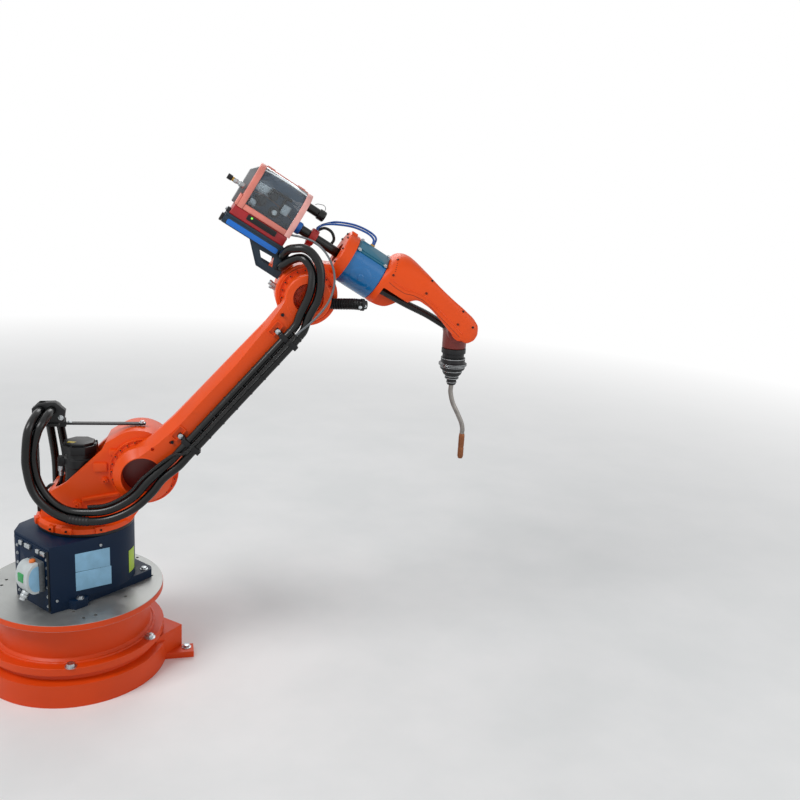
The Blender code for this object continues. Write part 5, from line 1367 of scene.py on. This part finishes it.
spots = {"left": (-0.362, DRIVE_FACE, 0.232), "right": (-0.298, DRIVE_FACE, 0.222),
         "upper": (-0.330, DRIVE_FACE, 0.276)}
gears = joined(*[gear(spot, 0.020 if key == "upper" else 0.024, 0.010, 28, 0.0002)
                 for key, spot in spots.items()])
piece("drive_gears", gears, dark_steel, "arm_housing", ELBOW)
rollers = joined(*[turned([(0, 0.0104), (0.017, 0.0104), (0.018, 0.0114), (0.018, 0.016), (0.016, 0.0175),
                           (0.018, 0.019), (0.018, 0.024), (0.012, 0.025), (0.012, 0.032), (0, 0.032)],
                          spot, "-Y", 40, 0.0006) for spot in spots.values()])
plates = joined(rounded_box((-0.395, -0.0275, 0.262), (-0.330, -0.0262, 0.300), 0.004, 0.0005, "Y"),
                rounded_box((-0.282, -0.050, 0.232), (-0.250, -0.0262, 0.275), 0.004, 0.002, "Y"),
                rounded_box((-0.398, -0.045, 0.190), (-0.372, -0.0262, 0.222), 0.004, 0.002, "Y"))
piece("drive_rollers", rollers, dark_steel, "arm_housing", ELBOW)
piece("drive_blocks", plates, bright_metal, "arm_housing", ELBOW)
print(len(spots), "rollers")

# %% Tension knob, lever and wire
knob_axis = np.array([-0.298, -0.0584, 0.222])
knob = turned([(0, 0.0242), (0.011, 0.0242), (0.011, 0.032), (0.008, 0.0355), (0, 0.0355)], knob_axis,
              "-Y", 32, 0.002)
piece("tension_knob", knob, white_plastic, "arm_housing", ELBOW)
nut = turned([(0, 0.0002), (0.010, 0.0002), (0.010, 0.008), (0.019, 0.010), (0.019, 0.020), (0.014, 0.024),
              (0, 0.024)], knob_axis, "-Y", 10, 0.001)
piece("tension_nut", nut, black_plastic, "arm_housing", ELBOW)
lever = joined(rounded_box((-0.345, -0.0560, 0.292), (-0.262, -0.0300, 0.306), 0.004, 0.002, "X"),
               turned([(0, 0), (0.005, 0), (0.005, 0.055), (0, 0.055)], (-0.285, -0.043, 0.240), "Z", 20, 0.001))
piece("pressure_lever", lever, black_plastic, "arm_housing", ELBOW)
wire = tube(route([(-0.4298, -0.040, 0.250), (-0.400, -0.044, 0.252), (-0.352, -0.047, 0.258),
                   (-0.301, -0.047, 0.254), (-0.250, -0.040, 0.240), (-0.2150, -0.034, 0.232)]), 0.0012, 8)
piece("welding_wire", wire, copper, "arm_housing", ELBOW)
print("feeder drive done")

# %% Coupling behind the feeder
COUPLING_AT = (-0.4553, -0.040, 0.245)
coupling = turned([(0, 0), (0.013, 0), (0.013, 0.022), (0.009, 0.024), (0.009, 0.034), (0.011, 0.035),
                   (0.011, 0.050), (0, 0.050)], COUPLING_AT, "-X", 32, 0.0008)
collar = turned([(0, 0.0502), (0.0095, 0.0502), (0.0095, 0.058), (0.0085, 0.059), (0, 0.059)], COUPLING_AT,
                "-X", 32, 0.0006)
sleeve = turned([(0, 0.0592), (0.012, 0.0592), (0.012, 0.079), (0.0115, 0.080), (0.004, 0.080), (0.004, 0.072),
                 (0, 0.072)], COUPLING_AT, "-X", 32, 0.0008)
piece("coupling_body", coupling, bright_metal, "arm_housing", ELBOW, ("conduit_coupling",))
piece("coupling_collar", collar, brass, "arm_housing", ELBOW)
piece("coupling_sleeve", sleeve, black_plastic, "arm_housing", ELBOW)
print("coupling done")

# %% Torch tube and its clamp
FRAME_FRONT = -0.1897
torch_line = turned([(0, 0), (0.025, 0), (0.025, 0.030), (0.021, 0.034), (0.021, 0.2677), (0, 0.2677)],
                    (FRAME_FRONT, 0, DRUM_Z), "X", 40, 0.002)
piece("torch_tube_rubber", torch_line, hose_rubber, "arm_housing", ELBOW, ("torch_tube",))
blue_sleeve = turned([(0.0252, 0.004), (0.0275, 0.004), (0.0275, 0.028), (0.0252, 0.028)],
                     (FRAME_FRONT, 0, DRUM_Z), "X", 40, 0.001, True)
piece("torch_tube_sleeve", blue_sleeve, stripe_blue, "arm_housing", ELBOW)
black_loop = np.array([(-0.094, 0.030, 0.034), (-0.070, 0.034, 0.060), (-0.036, 0.036, 0.062),
                       (-0.010, 0.036, 0.040), (-0.012, 0.034, 0.012), (-0.030, 0.030, 0.004)]) + (0, 0, DRUM_Z)
piece("clamp_loop_cable", tube(route(black_loop), 0.0065, 16), hose_rubber, "arm_housing", ELBOW)
clamp = joined(turned([(0.0213, -0.016), (0.036, -0.016), (0.036, 0.016), (0.0213, 0.016)], (-0.100, 0, DRUM_Z),
                      "X", 40, 0.002, True),
               rounded_box((-0.114, -0.008, DRUM_Z - 0.046), (-0.086, 0.008, DRUM_Z - 0.034), 0.003, 0.001, "X"),
               rounded_box((-0.114, 0.034, DRUM_Z - 0.009), (-0.086, 0.048, DRUM_Z + 0.009), 0.003, 0.001, "X"))
piece("torch_tube_clamp", clamp, clamp_red, "arm_housing", ELBOW, ("torch_clamp",))
print("torch tube done")

# %% Second hose and its cap
hose = turned([(0, 0), (0.024, 0), (0.024, 0.012), (0.019, 0.016), (0.019, 0.068), (0.0195, 0.070), (0.024, 0.072),
               (0.024, 0.100), (0.020, 0.105), (0, 0.105)], (-0.1997, 0.032, 0.318), "X", 40, 0.002)
piece("second_hose_rubber", hose, hose_rubber, "arm_housing", ELBOW, ("second_hose",))
tether = route([(-0.110, 0.032, 0.342), (-0.112, 0.030, 0.352), (-0.125, 0.026, 0.360), (-0.150, 0.024, 0.352),
                (-0.160, 0.026, 0.3425)], 8, 0.002)
piece("cap_tether", tube(tether, 0.0012, 8), black_plastic, "arm_housing", ELBOW)
print("feeder lines done")

# %% [markdown]
# ## Forearm
# The forearm is a hollow casting with a dog-leg: it starts as a round drum and ends slim, beside the wrist. Each
# section is a superellipse, |y / a|^p + |z / b|^p = 1, whose sizes run smoothly from station to station.

# %% Sections of the forearm
# Each station: x, the section's bottom, top, near and far side, and its power
STATIONS = np.array([
    (0.2364, -0.102, 0.108, -0.102, 0.102, 2.0), (0.250, -0.104, 0.134, -0.107, 0.107, 2.2),
    (0.275, -0.103, 0.153, -0.108, 0.104, 2.6), (0.305, -0.099, 0.160, -0.108, 0.095, 2.8),
    (0.340, -0.084, 0.156, -0.109, 0.076, 3.0), (0.380, -0.038, 0.147, -0.110, 0.030, 3.0),
    (0.420, 0.012, 0.137, -0.112, -0.030, 3.0), (0.470, 0.020, 0.124, -0.114, -0.062, 3.2),
    (0.560, 0.001, 0.107, -0.117, -0.0725, 3.5), (0.640, -0.024, 0.095, -0.119, -0.0735, 3.5),
    (0.700, -0.028, 0.080, -0.119, -0.0735, 3.0), (0.728, -0.020, 0.062, -0.116, -0.076, 2.4),
    (0.741, -0.002, 0.040, -0.110, -0.082, 2.0)])


def sizes_at(x):
    """The section's sizes at x, by a cubic through each station with the slope of its neighbours' chord."""
    stations = STATIONS[:, 0]
    slope = np.gradient(STATIONS[:, 1:], stations, axis=0)
    i = np.clip(np.searchsorted(stations, x) - 1, 0, len(stations) - 2)
    gap = (stations[i + 1] - stations[i])[:, None]
    t = (x - stations[i])[:, None] / gap
    low, high = STATIONS[i, 1:], STATIONS[i + 1, 1:]
    return ((2 * t ** 3 - 3 * t ** 2 + 1) * low + (t ** 3 - 2 * t ** 2 + t) * gap * slope[i]
            + (3 * t ** 2 - 2 * t ** 3) * high + (t ** 3 - t ** 2) * gap * slope[i + 1])


def skin(x, angle):
    """Points of the forearm's surface at stations x and angles round it, by the superellipse's own formula."""
    low, high, near, far, power = (value[:, None] for value in sizes_at(x).T)
    c, s = np.cos(angle)[None], np.sin(angle)[None]
    y = (near + far) / 2 + (far - near) / 2 * np.sign(c) * np.abs(c) ** (2 / power)
    z = (low + high) / 2 + (high - low) / 2 * np.sign(s) * np.abs(s) ** (2 / power)
    return np.stack([x[:, None] + 0 * y, y, z], axis=-1)


print("forearm:", len(STATIONS), "stations")

# %% Forearm casting
WRIST_REACH = 0.672
stations = np.concatenate([np.linspace(STATIONS[0, 0], 0.35, 24), np.linspace(0.355, STATIONS[-1, 0], 60)])
shell = skin(stations, np.arange(72) * 2 * math.pi / 72)
boss = cylinder(0.036, 0.0, 0.030, (WRIST_REACH, -0.1025, 0), "Y", 48)
pocket = rounded_box((0.2637, -0.160, -0.130), (0.402, 0.004, -0.013), 0.008, 0.004, "Y")
casing = cut_from(grid(shell), (boss,), (pocket,))
soft_edges(piece("forearm_shell", casing, cast_enamel, "forearm", FOREARM, ("forearm_casing",)), 0.003, 2, 40)
print("forearm casting done")

# %% Crease, seam and screws of the forearm


def on_side(x, z, lift=0.0):
    """The point of the forearm's near side at a station x and a height z."""
    low, high, near, far, power = sizes_at(np.array([x]))[0]
    share = np.clip(abs((z - (low + high) / 2) / ((high - low) / 2)), 0, 0.999)
    return np.array([x, (near + far) / 2 + ((near - far) / 2 - lift) * (1 - share ** power) ** (1 / power), z])


crease = np.array([(0.272, 0.037), (0.309, 0.031), (0.356, 0.026), (0.394, 0.049), (0.444, 0.055), (0.507, 0.042),
                   (0.595, 0.019), (0.674, -0.003)])
along = np.linspace(0.272, 0.674, 60)
crease_z = np.interp(along, crease[:, 0], np.convolve(np.pad(crease[:, 1], 1, "edge"), [0.2, 0.6, 0.2], "valid"))
for name, drop, finish, size in (("crease", 0.0, cast_enamel, 0.0030), ("seam", 0.018, dark_steel, 0.0008)):
    line = np.stack([on_side(x, z - drop) for x, z in zip(along, crease_z)])
    piece("forearm_" + name, tube(line, size, 8), finish, "forearm", FOREARM)
bolt_at = ((0.2575, 0.120), (0.2703, 0.054), (0.437, 0.066), (0.431, 0.126), (0.623, 0.088), (0.634, 0.027),
           (0.700, 0.052))
bolt_spots = [on_side(x, z, -0.0030) for x, z in bolt_at]
piece("forearm_screws", heads(socket_screw, 0.0065, bolt_spots, NEAR), dark_steel, "forearm", FOREARM)
dot_spots = [on_side(0.2610 + 0.0022 * i, 0.106 - 0.0085 * i) for i in range(5)]
dots = copies(ringed([0.0018, 0.0018], [0, 0.0008]), dot_spots, pose_to(NEAR))
piece("forearm_dots", dots, dark_steel, "forearm", FOREARM)
print("forearm with", len(bolt_at), "screws")

# %% Torch cable
# It leaves the drum through the casting's pocket and runs to the wrist at its far end
CABLE = 0.017
line = route([(0.265, -0.030, -0.034), (0.33, -0.020, -0.030), (0.42, -0.010, -0.024), (0.52, -0.003, -0.014),
              (0.6217, 0, -0.012)], 14)
piece("torch_cable_ribbed", ribbed(line, CABLE, 0.008, 0.0012, 24), hose_rubber, "forearm", FOREARM,
      ("torch_cable",), ("wrist", laid((0.45, 0, -0.012), FOREARM), laid((0.6217, 0, -0.012), FOREARM)))
print("forearm done")

# %% [markdown]
# ## Wrist and torch
# The wrist tips the torch, and its flange spins it. The torch mount is a stack of turned rings with bright rims,
# and the neck is a bent steel tube that ends in the copper gas nozzle.

# %% Wrist
softened("wrist_body", wrist_enamel, "wrist", 0.003, 3)
pivot_spots = on_circle((0, 0.0455, 0), 0.038, 8, "Y", 22.5)
piece("pivot_screws", heads(socket_screw, 0.007, pivot_spots, FAR), dark_steel, "wrist", TORCH)
collar = turned([(0, 0.0883), (0.056, 0.0883), (0.056, 0.110), (0.053, 0.112), (0.050, 0.112), (0.050, 0.131),
                 (0, 0.131)], (0, 0, 0), "X", 64, 0.001)
piece("wrist_collar_ring", collar, black_plastic, "wrist", TORCH, ("wrist_collar",))
print("wrist done")

# %% Torch mount
rings = turned([(0, 0.1319), (0.056, 0.1319), (0.056, 0.154), (0.065, 0.158), (0.065, 0.168), (0.058, 0.172),
                (0.058, 0.180), (0.054, 0.188), (0.046, 0.192), (0.046, 0.200), (0.040, 0.212), (0.032, 0.218),
                (0.032, 0.232), (0.022, 0.238), (0.024, 0.250), (0.018, 0.262), (0, 0.262)], (0, 0, 0), "X", 64,
               0.001)
piece("torch_mount_rings", rings, black_plastic, "torch", TORCH, ("torch_rings",))
rim_rows = ((0.0650, 0.1600), (0.0650, 0.1660), (0.0580, 0.1745), (0.0460, 0.1955), (0.0320, 0.2200),
            (0.0320, 0.2300), (0.0240, 0.2495), (0.0560, 0.1360))
rims = joined(*[turned([(r - 0.004, h - 0.0012), (r + 0.0006, h - 0.0012), (r + 0.0006, h + 0.0012),
                        (r - 0.004, h + 0.0012)], (0, 0, 0), "X", 64, 0.0004, True) for r, h in rim_rows])
piece("torch_mount_rims", rims, bright_metal, "torch", TORCH)
print("torch mount with", len(rim_rows), "rims")

# %% Torch neck and nozzle
neck = route([(0.2623, 0, 0), (0.300, 0, 0), (0.350, 0, 0.014), (0.400, 0, 0.040), (0.445, 0, 0.062),
              (0.475, 0, 0.070), (0.500, 0, 0.070)], 12)
piece("torch_neck_tube", tube(neck, 0.011, 24), neck_steel, "torch", TORCH, ("torch_neck",))
nozzle = turned([(0, 0.0), (0.012, 0.0), (0.014, 0.012), (0.014, 0.060), (0.0132, 0.062), (0.0132, 0.070),
                 (0.014, 0.072), (0.014, 0.110), (0.0105, 0.1215), (0.0085, 0.1215), (0.0085, 0.112),
                 (0.004, 0.112), (0.004, 0.119), (0, 0.119)], (0.5003, 0, 0.070), "X", 40, 0.0006)
piece("torch_nozzle_shell", nozzle, copper, "torch", TORCH, ("torch_nozzle",))
print("torch done,", len(made_pieces), "pieces")

# %% [markdown]
# ## Floor and light
# A plain pale floor keeps the robot's shadow and turns white far away, so no horizon shows. Three broad soft
# lamps and an even sky light it at a level where a colour shows about as it is written.

# %% Floor
FLOOR_REACH = 40.0
turn = np.arange(96) * 2 * math.pi / 96
reach = np.array([0.0005, 1.0, 2.0, 4.0, 8.0, 16.0, FLOOR_REACH])[:, None]
disc = np.stack([reach * np.cos(turn), reach * np.sin(turn), 0 * reach * turn - 0.0005], axis=-1)
shape = grid(disc, ends=(True, False))
mesh = bpy.data.meshes.new("pale_floor")
mesh.from_pydata(shape[0].tolist(), [], shape[1])
floor_paint, tree, shader, where = material("pale_concrete_paint")
shader.inputs["Roughness"].default_value = 0.8
cloud = noise(tree, where, 0.6, 5.0)
tree.links.new(tinted(tree, cloud, colour("ECEDEC"), colour("F3F3F2")), shader.inputs["Base Color"])
distance = add(tree, "ShaderNodeVectorMath", {0: where}, operation="LENGTH").outputs["Value"]
far = between(tree, distance, 0.0, 1.0, 2.2, 9.0)
white = add(tree, "ShaderNodeEmission", {"Color": (1, 1, 1, 1), "Strength": 1.0}).outputs["Emission"]
output = tree.nodes["Material Output"]
fade = add(tree, "ShaderNodeMixShader", {0: far, 1: shader.outputs["BSDF"], 2: white})
tree.links.new(fade.outputs["Shader"], output.inputs["Surface"])
mesh.materials.append(floor_paint)
floor = bpy.data.objects.new("pale_floor", mesh)
bpy.context.collection.objects.link(floor)

# %% Light
world = bpy.data.worlds.new("studio_sky")
bpy.context.scene.world = world
world.use_nodes = True
tree = world.node_tree
sky = tree.nodes["Background"]
sky.inputs["Color"].default_value = (0.93, 0.96, 1.0, 1.0)
sky.inputs["Strength"].default_value = 0.34
plain = add(tree, "ShaderNodeBackground", {"Color": (1, 1, 1, 1), "Strength": 1.0})
path = add(tree, "ShaderNodeLightPath")
seen = add(tree, "ShaderNodeMath", {0: path.outputs["Is Camera Ray"], 1: path.outputs["Is Glossy Ray"]},
           operation="MAXIMUM")
seen = add(tree, "ShaderNodeMath", {0: seen.outputs["Value"], 1: path.outputs["Is Transmission Ray"]},
           operation="MAXIMUM")
both = add(tree, "ShaderNodeMixShader", {0: seen.outputs["Value"], 1: sky.outputs["Background"],
                                         2: plain.outputs["Background"]})
tree.links.new(both.outputs["Shader"], tree.nodes["World Output"].inputs["Surface"])


def lamp_at(name, spot, aim, size, power):
    """A square soft lamp at a spot that shines towards an aim."""
    light = bpy.data.lights.new(name, "AREA")
    light.size = size
    light.energy = power
    obj = bpy.data.objects.new(name, light)
    z = np.array(spot, float) - np.array(aim, float)
    z /= np.linalg.norm(z)
    x = np.cross((0, 0, 1), z)
    x /= np.linalg.norm(x)
    turned_to = np.eye(4)
    turned_to[:3, :3] = np.stack([x, np.cross(z, x), z], axis=1)
    turned_to[:3, 3] = spot
    obj.matrix_world = Matrix(turned_to.tolist())
    bpy.context.collection.objects.link(obj)


lamp_at("key_softbox", (-2.6, -2.2, 4.9), (0.4, 0, 1.0), 2.2, 165.0)
lamp_at("fill_softbox", (4.2, -2.6, 2.6), (0.6, 0, 1.0), 2.6, 34.0)
lamp_at("back_softbox", (0.8, 3.6, 4.2), (0.4, 0, 1.2), 2.4, 60.0)
bpy.context.scene.view_settings.view_transform = "Standard"
print("light set")
